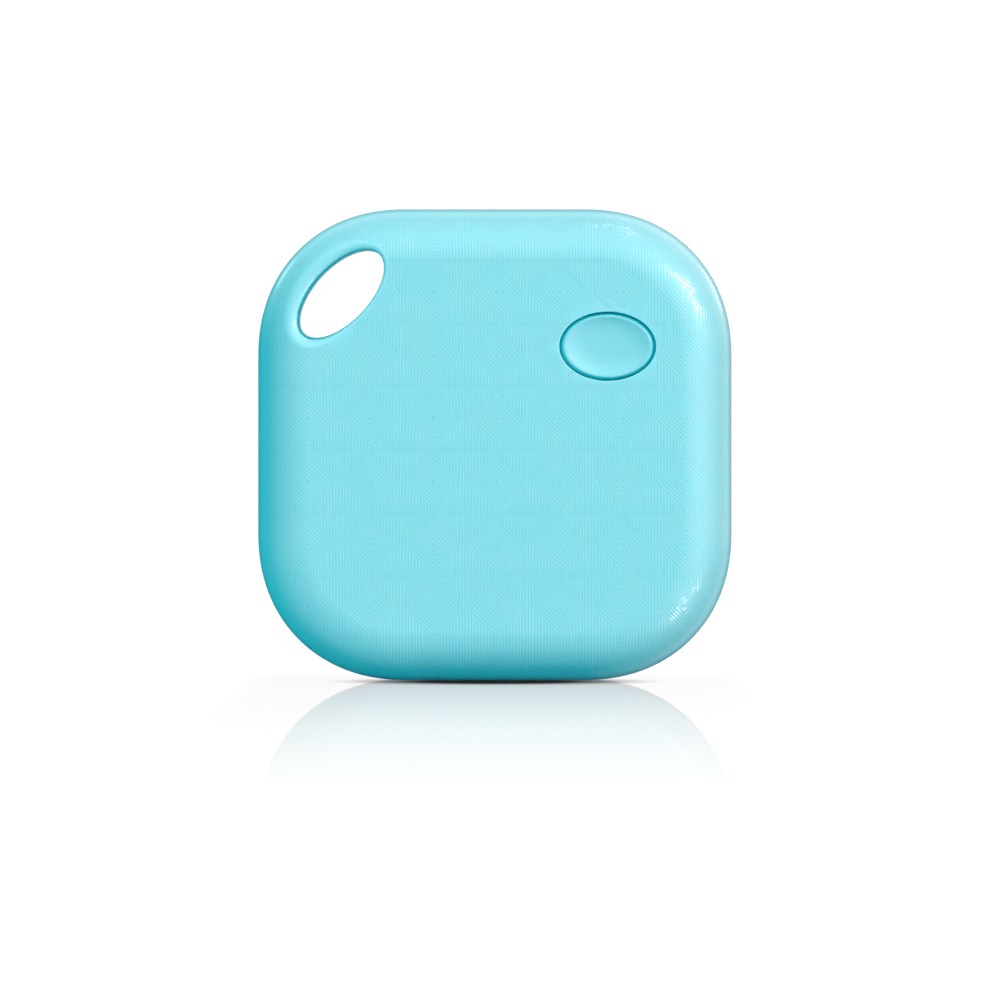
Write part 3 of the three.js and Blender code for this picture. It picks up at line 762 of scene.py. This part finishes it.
def solder_mask():
    """Green solder mask, raised a little over the tracks beneath it."""
    material, tree, shader = new_material("solder_mask", Roughness=0.35)
    spot = add(tree, "TexCoord").outputs["Object"]
    upright = add(tree, "Mapping", {"Vector": spot, "Rotation": (math.pi / 2, 0, 0)}).outputs["Vector"]
    sockets = {"Vector": upright, "Scale": 900, "Mortar Size": 0.03, "Mortar Smooth": 0.2, "Brick Width": 1.7}
    tracks = add(tree, "TexBrick", sockets).outputs["Fac"]
    share = sums(tree, "ADD", tracks, between(tree, noise(tree, 500), 0, 0.35))
    green = tint(tree, share, (0.01, 0.1, 0.045), (0.03, 0.2, 0.085))
    tree.links.new(green, shader.inputs["Base Color"])
    bump(tree, shader, tracks, 12 * MICRON)
    return material


SOLDER_MASK = solder_mask()


# ---- case shells

def eyelet_stock(grow, bottom, top):
    """Solid stock round the eyelet: an oval sleeve, filled out to the corner of the case."""
    long, short = EYELET["long"] + EYELET_WALL + grow, EYELET["short"] + EYELET_WALL + grow
    sleeve = prism("sleeve", oval(long, short, EYELET["tilt"], EYELET["x"], EYELET["y"]), bottom, top)
    fill = prism("fill", [(-long, 0.01), (long, 0.01), (long, 8), (-long, 8)], bottom - 0.01, top + 0.01)
    return fused(sleeve, at(fill, EYELET["x"], EYELET["y"], EYELET["tilt"]))


def hollow(inset, roll_width, widest, face, opening):
    """The hollow of a shell, from its opening beyond the seam to its rolled inner face."""
    sections = [(case_outline(inset), opening)]
    for turn in quarter(HOLLOW_STEPS):
        outline = case_outline(inset + roll_width * (1 - math.cos(turn)))
        sections.append((outline, widest + (face - widest) * math.sin(turn)))
    return loft("hollow", sections if face > opening else sections[::-1])


def screw_bores(bottom, top):
    return [disc(SCREW_HOLE, bottom, top, x, y) for x, y in SCREW_PLACES]


def case_ring(outer, inner, bottom, top):
    ring = prism("ring", case_outline(outer), bottom, top)
    return cut(ring, prism("bore", case_outline(inner), bottom - 1, top + 1))


HOLLOW_STEPS = 14
THROUGH = (-5, 5)
FRONT_FACE = RolledFace(roll_width=4.1, roll_depth=3.6, face=FRONT, seam=SEAM_FRONT, relief=True)
REAR_FACE = RolledFace(roll_width=2.0, roll_depth=2.4, face=-REAR, seam=-SEAM_REAR, relief=False)
SCREW_PLACES = [(-12.6, -11), (13.4, -11), (-3.6, 13.4), (12.2, 12.4)]
SCREW_HOLE, BOSS = 0.75, {"radius": 1.5, "bottom": 2.05}
SOUNDER = {"x": 0.8, "y": -7.2, "plate": 6.4, "ceramic": 4.5}
RIB = {"inner": 5.6, "outer": 6.6, "bottom": 2.75}
FLANGE = {"inner": 10.95, "outer": 13, "bottom": -2.75, "top": -2.15}
SKIRT = {"inner": 10.3, "outer": 10.8, "top": -1.4, "tip": 0.08}
LUG = {"reach": 11.5, "bottom": -2, "top": -1.45, "half": 0.2}
LUG_ANGLES = [math.pi / 2 + i * math.tau / 3 for i in range(3)]
DOOR_TURN, NOTCH_HALF = math.pi / 6, 0.26
MARK_RADIUS, MARK_DEPTH = 0.42, 0.12


def front_cover():
    cover = outer_solid("front_shell", FRONT_FACE, [EYELET_FRONT, BUTTON_HOLE], rings=24)
    inside = hollow(SIDE_WALL, FRONT_FACE.width - SIDE_WALL, FRONT_FACE.widest, FRONT - FRONT_WALL, -2)
    kept = [disc(BOSS["radius"], BOSS["bottom"], FRONT, x, y) for x, y in SCREW_PLACES]
    rib = disc(RIB["outer"], RIB["bottom"], FRONT, steps=96)
    rib = cut(rib, disc(RIB["inner"], *THROUGH, steps=96))
    kept.append(at(rib, SOUNDER["x"], SOUNDER["y"]))
    kept.append(eyelet_stock(0, -3, FRONT))
    inside = cut(inside, *kept)
    rebate = case_ring(REBATE["outer"], TONGUE["inner"], -2, REBATE["top"])
    return cut(cover, inside, rebate, *screw_bores(0, FRONT - FRONT_WALL))


def arc_block(inner, outer, angle, half, bottom, top):
    """The stretch of a ring between two radii, centred on an angle, about the door's middle."""
    turns = np.linspace(angle - half, angle + half, 13)
    points = [(outer * math.cos(t), outer * math.sin(t)) for t in turns]
    points += [(inner * math.cos(t), inner * math.sin(t)) for t in turns[::-1]]
    return at(prism("arc", points, bottom, top), DOOR.x, DOOR.y)


def mark(angle, radius):
    """A round-bottomed dot to be sunk into the rear, about the door's middle."""
    profile = [(0, REAR - 1), (MARK_RADIUS, REAR - 1)]
    profile += [(MARK_RADIUS * math.cos(turn), REAR + MARK_DEPTH * math.sin(turn)) for turn in quarter(8)]
    dot = turned("dot", profile, 32)
    return at(dot, DOOR.x + radius * math.cos(angle), DOOR.y + radius * math.sin(angle))


def rear_cover():
    cover = outer_solid("rear_shell", REAR_FACE, [EYELET_REAR, DOOR_HOLE], rings=12)
    cover.data.transform(Matrix.Scale(-1, 4, (0, 0, 1)))
    cover.data.flip_normals()
    inside = hollow(TONGUE["inner"], 1, REAR + REAR_FACE.depth, REAR + REAR_WALL, 1)
    kept = disc(FLANGE["outer"], REAR, FLANGE["top"], DOOR.x, DOOR.y, 160)
    inside = cut(inside, kept, eyelet_stock(0, REAR, 2))
    cover = cut(cover, inside)
    ring = disc(FLANGE["outer"] - 0.4, FLANGE["bottom"], FLANGE["top"] - 0.01, DOOR.x, DOOR.y, 160)
    notches = [arc_block(10, LUG["reach"] + 0.2, angle - DOOR_TURN, NOTCH_HALF, REAR, 0)
               for angle in LUG_ANGLES]
    bore = disc(FLANGE["inner"], REAR, 1, DOOR.x, DOOR.y, 160)
    ring = cut(ring, bore, *notches)
    tongue = case_ring(TONGUE["outer"], TONGUE["inner"], SEAM_REAR - 0.5, TONGUE["top"])
    tongue = cut(tongue, eyelet_stock(0.3, SEAM_REAR, TONGUE["top"] + 1))
    cover = fused(cover, ring, tongue)
    marks = [mark(LUG_ANGLES[0], 12.9), mark(LUG_ANGLES[0] - DOOR_TURN, 12.9)]
    return cut(cover, *marks)


GAP_FACING = 0.5


def in_button_gap(middle, facing):
    """Whether a face whose normal points forward by that much lies on the walls round the button."""
    offset = middle - BUTTON
    across, up = BUTTON_HALF[0] + BUTTON_GAP + 0.1, BUTTON_HALF[1] + BUTTON_GAP + 0.1
    return facing < GAP_FACING and (offset.x / across) ** 2 + (offset.y / up) ** 2 < 1


front = place(front_cover(), "case", "case_plastic", "front_cover", sharp=8)
# The walls round the button's opening get the gap's painted light.
line_gap(front, GAP_PAINTED_LIGHT, in_button_gap)
place(rear_cover(), "case", "case_plastic", "rear_cover", sharp=25)


SEAL = {"inset": 0.975, "z": -0.15, "half_width": 0.22, "half_height": 0.245, "steps": 16}


def case_seal():
    """The rubber ring between the covers: round cord squeezed a little between them."""
    sections = []
    for step in range(SEAL["steps"]):
        turn = step / SEAL["steps"] * math.tau
        outline = case_outline(SEAL["inset"] - SEAL["half_width"] * math.cos(turn))
        sections.append((outline, SEAL["z"] + SEAL["half_height"] * math.sin(turn)))
    return loft("seal", sections, closed=True)


place(case_seal(), "case", "black_rubber", "case_seal", sharp=60)


# ---- button and switch

BUTTON_SCALE = BUTTON_HALF[1] / BUTTON_HALF[0]


CAP = {
    "below_face": 0.02, "roof": 3.0, "wall": 0.7, "foot": 2.35, "flange": 0.75, "flange_top": 2.8,
    "step": 0.12, "step_low": 0.36, "step_high": 0.33, "edge": 0.2, "rim": 0.32, "dish": 0.3,
}
DISH_STEPS = 24


def button_cap():
    half, top, edge = BUTTON_HALF[0], FRONT - CAP["below_face"], CAP["edge"]
    inner, flange, step = half - CAP["wall"], half + CAP["flange"], half + CAP["step"]
    profile = [(0, CAP["roof"]), (inner, CAP["roof"]), (inner, CAP["foot"]), (flange, CAP["foot"]),
               (flange, CAP["flange_top"]), (step, CAP["flange_top"]), (step, top - CAP["step_low"]),
               (half, top - CAP["step_high"]), *arc(half - edge, top - edge, edge, 0, 90, 8)]
    for ring in range(DISH_STEPS + 1):
        share = 1 - ring / DISH_STEPS
        profile.append(((half - CAP["rim"]) * share, top - CAP["dish"] * (1 - share**4)))
    return turned("button", profile, 160, BUTTON_SCALE)


def on_button(*rest, **how):
    return place_on(BUTTON.x, BUTTON.y, *rest, **how)


GAP_TOP = FRONT - CAP["below_face"] - CAP["dish"] - 0.02
cap = on_button(button_cap(), "button", "button_plastic", "button_cap", sharp=40)
# The button's sides down in the gap get the gap's painted light.
line_gap(cap, GAP_PAINTED_LIGHT, lambda middle, facing: facing < GAP_FACING or middle.z < GAP_TOP)
pad = [(0, 2.68), *arc(0.64, 2.74, 0.06, -90, 0), (0.7, 2.76), *arc(2.25, 2.81, 0.05, -90, 0),
       *arc(2.24, 2.86, 0.06, 0, 90), (0, 2.92)]
on_button(turned("pad", pad, 64, BUTTON_SCALE), "button", "clear_silicone", "button_pad")


SWITCH = {"size": (3, 2.5), "base": (1.95, 2.3), "well": (1.05, 2.02), "cover": (2.36, 2.48), "window": 0.72}
DOME = {"radius": 0.95, "under": 2.235, "over": 2.295, "fall": 0.17}


def dome_side(z, radii):
    return [(r, z - DOME["fall"] * (r / DOME["radius"]) ** 2) for r in radii]


switch_base = cut(block(*SWITCH["size"], *SWITCH["base"], 0.08), disc(*SWITCH["well"], THROUGH[1]))
on_button(switch_base, "case", "black_plastic", "switch_base")
radii = np.linspace(0.1, DOME["radius"], 8)
dome = [(0, DOME["under"]), *dome_side(DOME["under"], radii),
        *dome_side(DOME["over"], radii[::-1]), (0, DOME["over"])]
on_button(turned("dome", dome, 48), "case", "spring_steel", "switch_dome")
switch_cover = cut(block(*SWITCH["size"], *SWITCH["cover"], 0.03), disc(SWITCH["window"], *THROUGH))
on_button(switch_cover, "case", "spring_steel", "switch_cover")
plunger = [(0, 2.34), *arc(0.56, 2.38, 0.04, -90, 0), *arc(0.48, 2.49, 0.12, 0, 75), (0, 2.62)]
on_button(turned("plunger", plunger, 48), "button", "black_plastic", "switch_plunger")


# ---- battery and door

COIN_SLOT = {"long": 6.5, "half": 0.85, "depth": 0.6, "worn": 0.15, "bottom": 0.2}
SLOT_STEPS = 5


def slot_outline(long, half, steps=20):
    turns = np.linspace(-math.pi / 2, math.pi / 2, steps)
    right = [(long - half + half * math.cos(t), half * math.sin(t)) for t in turns]
    return right + [(-x, -y) for x, y in right]


def coin_slot():
    """The coin slot's shape, with a worn edge at the face and a rounded bottom."""
    long, half, worn, bottom = (COIN_SLOT[name] for name in ("long", "half", "worn", "bottom"))
    mouth = slot_outline(long + worn, half + worn)
    sections = [(mouth, REAR - 0.5), (mouth, REAR)]
    for turn in quarter(SLOT_STEPS)[1:]:
        grow = worn * (1 - math.sin(turn))
        sections.append((slot_outline(long + grow, half + grow), REAR + worn * (1 - math.cos(turn))))
    for turn in quarter(SLOT_STEPS):
        shrink, rise = bottom * (1 - math.cos(turn)), COIN_SLOT["depth"] - bottom + bottom * math.sin(turn)
        sections.append((slot_outline(long - shrink, half - shrink), REAR + rise))
    return loft("slot", sections)


DOOR_PLATE = {"edge": 0.2, "back": -3.35, "inside": -2.7, "pocket": 9.4}


def battery_door():
    edge, back, inside, pocket = (DOOR_PLATE[name] for name in ("edge", "back", "inside", "pocket"))
    tip = SKIRT["tip"]
    profile = [(0, REAR), *arc(DOOR_RADIUS - edge, REAR + edge, edge, -90, 0, 8), (DOOR_RADIUS, back),
               (SKIRT["outer"], back), *arc(SKIRT["outer"] - tip, SKIRT["top"] - tip, tip, 0, 90, 4),
               *arc(SKIRT["inner"] + tip, SKIRT["top"] - tip, tip, 90, 180, 4),
               (SKIRT["inner"], back), (pocket, back), (pocket, inside), (0, inside)]
    door = at(turned("door", profile, 160), DOOR.x, DOOR.y)
    lugs = [arc_block(SKIRT["inner"] + 0.1, LUG["reach"], angle, LUG["half"], LUG["bottom"], LUG["top"])
            for angle in LUG_ANGLES]
    door = fused(door, *lugs)
    return cut(door, at(coin_slot(), DOOR.x, DOOR.y), mark(LUG_ANGLES[0], 10.4))


def on_cell(*rest, **how):
    return place_on(DOOR.x, DOOR.y, *rest, **how)


keep_flat(place(battery_door(), "door", "case_plastic", "battery_door", sharp=30))
door_seal = turned("door_seal", arc(11.2, -3.05, 0.22, 0, 345, 23), 160)
on_cell(door_seal, "door", "black_rubber", "door_seal", sharp=60)

can = [(0, -2.3), *arc(9.7, -2.0, 0.3, -90, 0, 8), *arc(9.75, 0.65, 0.25, 0, 90, 6), (9.5, 0.9), (9.75, 0.5),
       (9.75, -1.9), *arc(9.6, -1.9, 0.15, 0, -90, 4), (0, -2.05)]
plus = [block(4.4, 0.7, -3, -2.22, 0.02), block(0.7, 4.4, -3, -2.22, 0.02)]
cell_can = cut(turned("can", can, 160), *plus)
on_cell(cell_can, "case", "cell_steel", "cell_can")
gasket = [(9.1, -1.8), (9.4, -1.8), *arc(9.32, 0.72, 0.08, 0, 90, 4), *arc(9.18, 0.72, 0.08, 90, 180, 4)]
on_cell(turned("gasket", gasket, 160), "case", "black_plastic", "cell_gasket")
cap = [(0, 0.65), (8.4, 0.65), *arc(8.4, 0.35, 0.3, 90, 0, 6), (8.7, -1.6), (8.95, -1.6),
       *arc(8.5, 0.45, 0.45, 0, 90, 8), (0, 0.9)]
on_cell(turned("cap", cap, 160), "case", "cell_steel", "cell_cap")


CRADLE = {"inner": 10.45, "outer": 11.3, "bottom": -1.2, "top": 0.95, "arm_half": 1.7}


def battery_cradle():
    half = CRADLE["arm_half"]
    ring = disc(CRADLE["outer"], CRADLE["bottom"], CRADLE["top"], DOOR.x, DOOR.y, 128)
    ears = []
    for x, y in SCREW_PLACES:
        reach = Vector((DOOR.x - x, DOOR.y - y))
        arm = prism("arm", [(0, -half), (reach.length, -half), (reach.length, half), (0, half)], 0.3, 0.94)
        ears += [at(arm, x, y, math.atan2(reach.y, reach.x)), disc(half, 0.31, 0.93, x, y)]
    ring = fused(ring, *ears)
    opening = disc(CRADLE["inner"], *THROUGH, DOOR.x, DOOR.y, 128)
    return cut(ring, opening, *screw_bores(*THROUGH))


place(battery_cradle(), "case", "black_plastic", "battery_cradle")


# ---- board, sounder and screws

def joined(first, *others):
    """One piece made of several, each keeping its own material."""
    for piece in others:
        mesh = bmesh.new()
        mesh.from_mesh(first.data)
        start = len(first.data.materials)
        first.data.materials.append(piece.data.materials[0])
        count = len(mesh.faces)
        mesh.from_mesh(piece.data)
        mesh.faces.ensure_lookup_table()
        for face in mesh.faces[count:]:
            face.material_index = start
        mesh.to_mesh(first.data)
        mesh.free()
        bpy.data.objects.remove(piece)
    return first


BOARD = {"inset": 2.6, "bottom": 1.3, "top": 1.9, "corner": 13.4}
FLOOR = 1.95


def circuit_board():
    """Laminate between two skins of solder mask, with plated rings round the screw holes."""
    outline = case_outline(BOARD["inset"])
    corner = prism("corner", [(-15, 0), (15, 0), (15, 12), (-15, 12)], 0, 3)
    eighth = Matrix.Rotation(math.pi / 4, 4, "Z")
    corner.data.transform(eighth @ Matrix.Translation((0, BOARD["corner"], 0)))
    board = cut(prism("board", outline, BOARD["bottom"], BOARD["top"]), corner, *screw_bores(*THROUGH))
    for material in (LAMINATE, SOLDER_MASK):
        board.data.materials.append(material)
    for face in board.data.polygons:
        face.material_index = int(abs(face.normal.z) > 0.5)
    rings = []
    for x, y in SCREW_PLACES:
        ring = disc(1.25, BOARD["top"] - 0.05, BOARD["top"] + 0.03, x, y)
        rings.append(with_material(cut(ring, disc(SCREW_HOLE, *THROUGH, x, y)), COPPER))
    return joined(board, *rings)


place(circuit_board(), "case", "board_laminate", "circuit_board")


def edged_disc(radius, bottom, top, edge=0.03, steps=128):
    return turned("disc", [(0, bottom), *arc(radius - edge, bottom + edge, edge, -90, 0, 3),
                           *arc(radius - edge, top - edge, edge, 0, 90, 3), (0, top)], steps)


place_on(SOUNDER["x"], SOUNDER["y"], edged_disc(SOUNDER["plate"], 2.5, 2.66), "case", "sounder_brass",
         "sounder_plate")
ceramic = joined(with_material(edged_disc(SOUNDER["ceramic"], 2.33, 2.44), CERAMIC),
                 with_material(edged_disc(SOUNDER["ceramic"] - 0.3, 2.32, 2.40, 0.01), SILVER))
place_on(SOUNDER["x"], SOUNDER["y"], ceramic, "case", "ceramic", "sounder_ceramic")


def radio_chip():
    """A leadless chip: moulded body, a dimple for its first pin, and pads along its lower edges."""
    body = block(5, 5, FLOOR + 0.02, FLOOR + 0.75, 0.05)
    body = with_material(cut(body, at(disc(0.25, 2.65, 3), -1.9, 1.9)), BLACK_PLASTIC)
    pads = []
    for side in range(4):
        for i in range(8):
            pad = with_material(block(0.3, 0.25, FLOOR, FLOOR + 0.18, 0.02), SOLDER)
            pads.append(at(at(pad, 2.36, (i - 3.5) * 0.5), 0, 0, side * math.pi / 2))
    return joined(body, *pads)


def ended(width, height, rise, body, end_length=0.32):
    """A small block part with a metal cap on each end."""
    middle = with_material(block(width - 0.1, height - 0.06, FLOOR + 0.03, FLOOR + rise - 0.03, 0.04), body)
    ends = []
    for side in (-1, 1):
        cap = block(end_length, height, FLOOR, FLOOR + rise, 0.05)
        ends.append(with_material(at(cap, side * (width - end_length) / 2, 0), SOLDER))
    return joined(middle, *ends)


def canned(width, height, rise):
    """A crystal: a steel lid seam-welded to a ceramic base."""
    base = with_material(block(width, height, FLOOR, FLOOR + rise * 0.45, 0.03), CERAMIC)
    lid = block(width - 0.3, height - 0.3, FLOOR + rise * 0.4, FLOOR + rise, 0.06)
    return joined(base, with_material(lid, SPRING_STEEL))


def inductor(width, height, rise):
    core = block(width, height, FLOOR + 0.1, FLOOR + rise, 0.12)
    feet = [with_material(at(block(0.55, height - 0.2, FLOOR, FLOOR + 0.3, 0.04), side * 0.9, 0), SOLDER)
            for side in (-1, 1)]
    return joined(with_material(core, BLACK_PLASTIC), *feet)


CAPACITORS = [(-11.9, -1, 1), (-1.6, 1.8, 0), (1.9, 6.6, 0), (11.9, -1.4, 1)]
BOARD_PARTS = [
    ("radio_chip", "black_plastic", radio_chip(), -7.4, 2.4, 0),
    ("main_crystal", "spring_steel", canned(2.5, 2, 0.55), -11.9, 1.2, 0),
    ("clock_crystal", "spring_steel", canned(3.2, 1.5, 0.65), -1.6, 4.6, 0),
    ("chip_antenna", "ceramic", ended(5, 1.6, 0.8, CERAMIC, 0.6), -13.6, -4.6, 1),
    ("power_inductor", "black_plastic", inductor(2.5, 2, 0.8), 1.9, 9.4, 0),
    *[(f"capacitor_{i + 1}", "capacitor_tan", ended(1.6, 0.8, 0.7, CAPACITOR_TAN), *spot)
      for i, spot in enumerate(CAPACITORS)],
]
for node, slot, piece, x, y, quarter_turns in BOARD_PARTS:
    place(at(piece, x, y, quarter_turns * math.pi / 2), "case", slot, node)


THREAD = {"root": 0.44, "crest": 0.55, "pitch": 0.22, "end": 2.35}


def screw():
    """A pan-head screw with a cross recess and a thread cut as fine rings."""
    root, crest, pitch = THREAD["root"], THREAD["crest"], THREAD["pitch"]
    profile = [(0, -0.25), *arc(1.0, -0.1, 0.15, -90, 0, 5), (1.15, 0.15), (crest, 0.15)]
    for z in np.arange(0.3, THREAD["end"], pitch):
        profile += [(root, z), (crest, z + 0.1), (root, z + 0.2)]
    profile += [(0.42, 2.5), (0, 2.8)]
    drive = [block(1.1, 0.3, -1.25, -0.03, 0.02), block(0.3, 1.1, -1.25, -0.03, 0.02)]
    return cut(turned("screw", profile, 48), *drive)


for i, (x, y) in enumerate(SCREW_PLACES):
    place_on(x, y, screw(), "case", "spring_steel", f"board_screw_{i + 1}")

for node in ("negative_contact", "positive_contact", "sounder_contact_plate", "sounder_contact_ceramic"):
    for slot in bpy.data.objects[node].material_slots:
        slot.material = SPRING_STEEL


# ---- stage

SHADE_CENTRE, SHADE_HALF, SHADE_CORE = (0.0, -0.0035), (0.0142, 0.0102), 0.36
GLOSS_NEAR, GLOSS_REACH, GLOSS_BEHIND = 0.45, 0.17, 0.03
GLOSS_SIDES = (0.017, 0.022)
WHITE = 1.03
SHADE_COLOUR = (0.012, 0.018, 0.018)
FLOOR_HALF = 3
CAMERA_DISTANCE, CAMERA_RIGHT, CAMERA_LOW = 0.424, 0.00041, 0.00438
FRAME_WIDTH = 0.07933
LAMP_DISTANCE = 0.6


def glow(tree, colour, strength=1):
    return add(tree, "Emission", {"Color": (*colour, 1), "Strength": strength})


def mixed(tree, factor, first, second):
    """A Mix Shader between two shader nodes."""
    return add(tree, "MixShader", {0: factor, 1: first.outputs[0], 2: second.outputs[0]})


def eased(tree, factor, low, high, start, end):
    """As between, but easing in and out."""
    return between(tree, factor, low, high, start, end, "SMOOTHSTEP")


def stage():
    """A white floor that mirrors the tag faintly near its foot, with a thin contact shade under it."""
    corners = [(x * FLOOR_HALF, y * FLOOR_HALF, 0) for x, y in [(-1, -1), (1, -1), (1, 1), (-1, 1)]]
    floor = mesh_object("floor", corners, [(0, 1, 2, 3)])
    material = bpy.data.materials.new("floor_white")
    material.use_nodes = True
    tree = material.node_tree
    tree.nodes.clear()
    spot = add(tree, "TexCoord").outputs["Object"]
    offset = add(tree, "VectorMath", {0: spot, 1: (*SHADE_CENTRE, 0)}, operation="SUBTRACT").outputs[0]
    halves = add(tree, "VectorMath", {0: offset, 1: (*SHADE_HALF, 1)}, operation="DIVIDE").outputs[0]
    away = add(tree, "VectorMath", {0: halves}, operation="LENGTH").outputs["Value"]
    split = add(tree, "SeparateXYZ", {0: spot})
    ahead, aside = split.outputs["Y"], sums(tree, "ABSOLUTE", split.outputs["X"])
    share = between(tree, ahead, 0, GLOSS_NEAR, -GLOSS_REACH, 0)
    for fade in (eased(tree, aside, 1, 0, *GLOSS_SIDES), eased(tree, ahead, 1, 0, 0, GLOSS_BEHIND)):
        share = sums(tree, "MULTIPLY", share, fade)
    mirror = add(tree, "BsdfGlossy", {"Roughness": 0.02})
    seen = mixed(tree, share, glow(tree, (1, 1, 1), WHITE), mirror)
    seen = mixed(tree, eased(tree, away, 0, 1, SHADE_CORE, 1), glow(tree, SHADE_COLOUR), seen)
    matte = add(tree, "BsdfDiffuse", {"Color": (0.8, 0.8, 0.8, 1)})
    both = mixed(tree, add(tree, "LightPath").outputs["Is Camera Ray"], matte, seen)
    add(tree, "OutputMaterial", {"Surface": both.outputs[0]})
    floor.data.materials.append(material)
    floor.visible_glossy = floor.visible_shadow = False


def softbox(name, direction, size, radiance, length=None, along=(0, 0, 1)):
    """A lamp that faces the tag from a direction (right, away, up), for its highlights only. It is square, or
    a strip of that length along another direction."""
    data = bpy.data.lights.new(name, "AREA")
    data.shape, data.size, data.size_y = "RECTANGLE", size, length or size
    data.energy = radiance * math.pi * data.size * data.size_y
    lamp = bpy.data.objects.new(name, data)
    back = Vector(direction).normalized()
    side = Vector(along).cross(back).normalized()
    turn = Matrix((side, back.cross(side), back)).transposed()
    lamp.matrix_world = Matrix.LocRotScale(Vector((0, 0, CAD_HIGH.z / 2)) + back * LAMP_DISTANCE, turn, None)
    lamp.visible_diffuse = False
    bpy.context.scene.collection.objects.link(lamp)


# Softboxes of the light tent: where each stands (right, away, up), how tight it is, and its strength
GLOSS_BOXES = [
    ((0, -1, 0), 1, 1.85), ((0, -1, 0), 4, 1.2), ((1, 0, 0), 1, 3.0), ((0.12, 0, 1), 1, 3.6),
    ((1, -1, 0), 4, 1.9), ((0, -1, 1), 4, 1.3), ((0, -1, -1), 4, 0.35), ((-1, -0.6, -0.2), 4, 0.6),
]
BEHIND_FADE = {"start": 0.45, "end": 0.95, "left": 0.35}
BACKDROP_EDGE = (0.985, 0.992)
SOFT_BOXES = [
    ((0, -1, 0), 1, 0.95), ((1, 0, 0), 1, 0.33), ((-1, 0, 0), 1, 1.55), ((0, -1, -1), 2, 0.72),
    ((0, 1, 0.2), 1, 1.1),
]


def tent(tree, boxes, behind=None, backdrop=None):
    """A background lit by softboxes that fade out smoothly from their middles. They may be taken down behind
    the tag, where a white backdrop may hang."""
    view, total = add(tree, "TexCoord").outputs["Generated"], None
    for direction, tightness, strength in boxes:
        facing = {0: view, 1: Vector(direction).normalized()}
        value = add(tree, "VectorMath", facing, operation="DOT_PRODUCT").outputs["Value"]
        for operation, number in (("MAXIMUM", 0), ("POWER", tightness), ("MULTIPLY", strength)):
            value = sums(tree, operation, value, number)
        total = value if total is None else sums(tree, "ADD", total, value)
    if behind:
        away = add(tree, "SeparateXYZ", {0: view}).outputs["Y"]
        fade = eased(tree, away, 1, behind["left"], behind["start"], behind["end"])
        total = sums(tree, "MULTIPLY", total, fade)
        total = sums(tree, "ADD", total, eased(tree, away, 0, WHITE, *backdrop))
    return add(tree, "Background", {"Color": (1, 1, 1, 1), "Strength": total})


def world():
    """A light tent: white to the camera, with its softboxes weighted apart for gloss and for soft light."""
    studio = bpy.data.worlds.new("studio")
    bpy.context.scene.world = studio
    studio.use_nodes = True
    studio.cycles.sampling_method = "NONE"
    tree = studio.node_tree
    seen, path = tree.nodes["Background"], add(tree, "LightPath")
    seen.inputs["Color"].default_value = (1, 1, 1, 1)
    seen.inputs["Strength"].default_value = WHITE
    gloss = tent(tree, GLOSS_BOXES, BEHIND_FADE, BACKDROP_EDGE)
    lit = mixed(tree, path.outputs["Is Glossy Ray"], tent(tree, SOFT_BOXES), gloss)
    both = mixed(tree, path.outputs["Is Camera Ray"], lit, seen)
    tree.links.new(both.outputs[0], tree.nodes["World Output"].inputs["Surface"])


def camera():
    data = bpy.data.cameras.new("camera")
    data.sensor_width = 36
    data.lens = data.sensor_width * CAMERA_DISTANCE / FRAME_WIDTH
    data.clip_start = 0.01
    eye = bpy.data.objects.new("camera", data)
    eye.location = (CAMERA_RIGHT, -CAMERA_DISTANCE, CAD_HIGH.z / 2 - CAMERA_LOW)
    eye.rotation_euler = (math.pi / 2, 0, 0)
    bpy.context.scene.collection.objects.link(eye)
    bpy.context.scene.camera = eye


stage()
world()
camera()
softbox("key", (0.66, -0.643, 0.375), 0.055, 34, 0.14, (-0.49, 0, 0.87))
softbox("kicker", (0.66, -0.643, -0.385), 0.05, 15, 0.12, (0.49, 0, 0.87))
softbox("top", (0.225, -0.21, 0.94), 0.025, 50)
softbox("rim_right", (0.71, 0.55, 0.36), 0.025, 15, 0.15, (-0.45, 0, 0.9))
softbox("rim_left", (-0.66, 0.55, 0.45), 0.025, 10, 0.12, (0.55, 0, 0.83))
bpy.context.scene.view_settings.view_transform = "Standard"
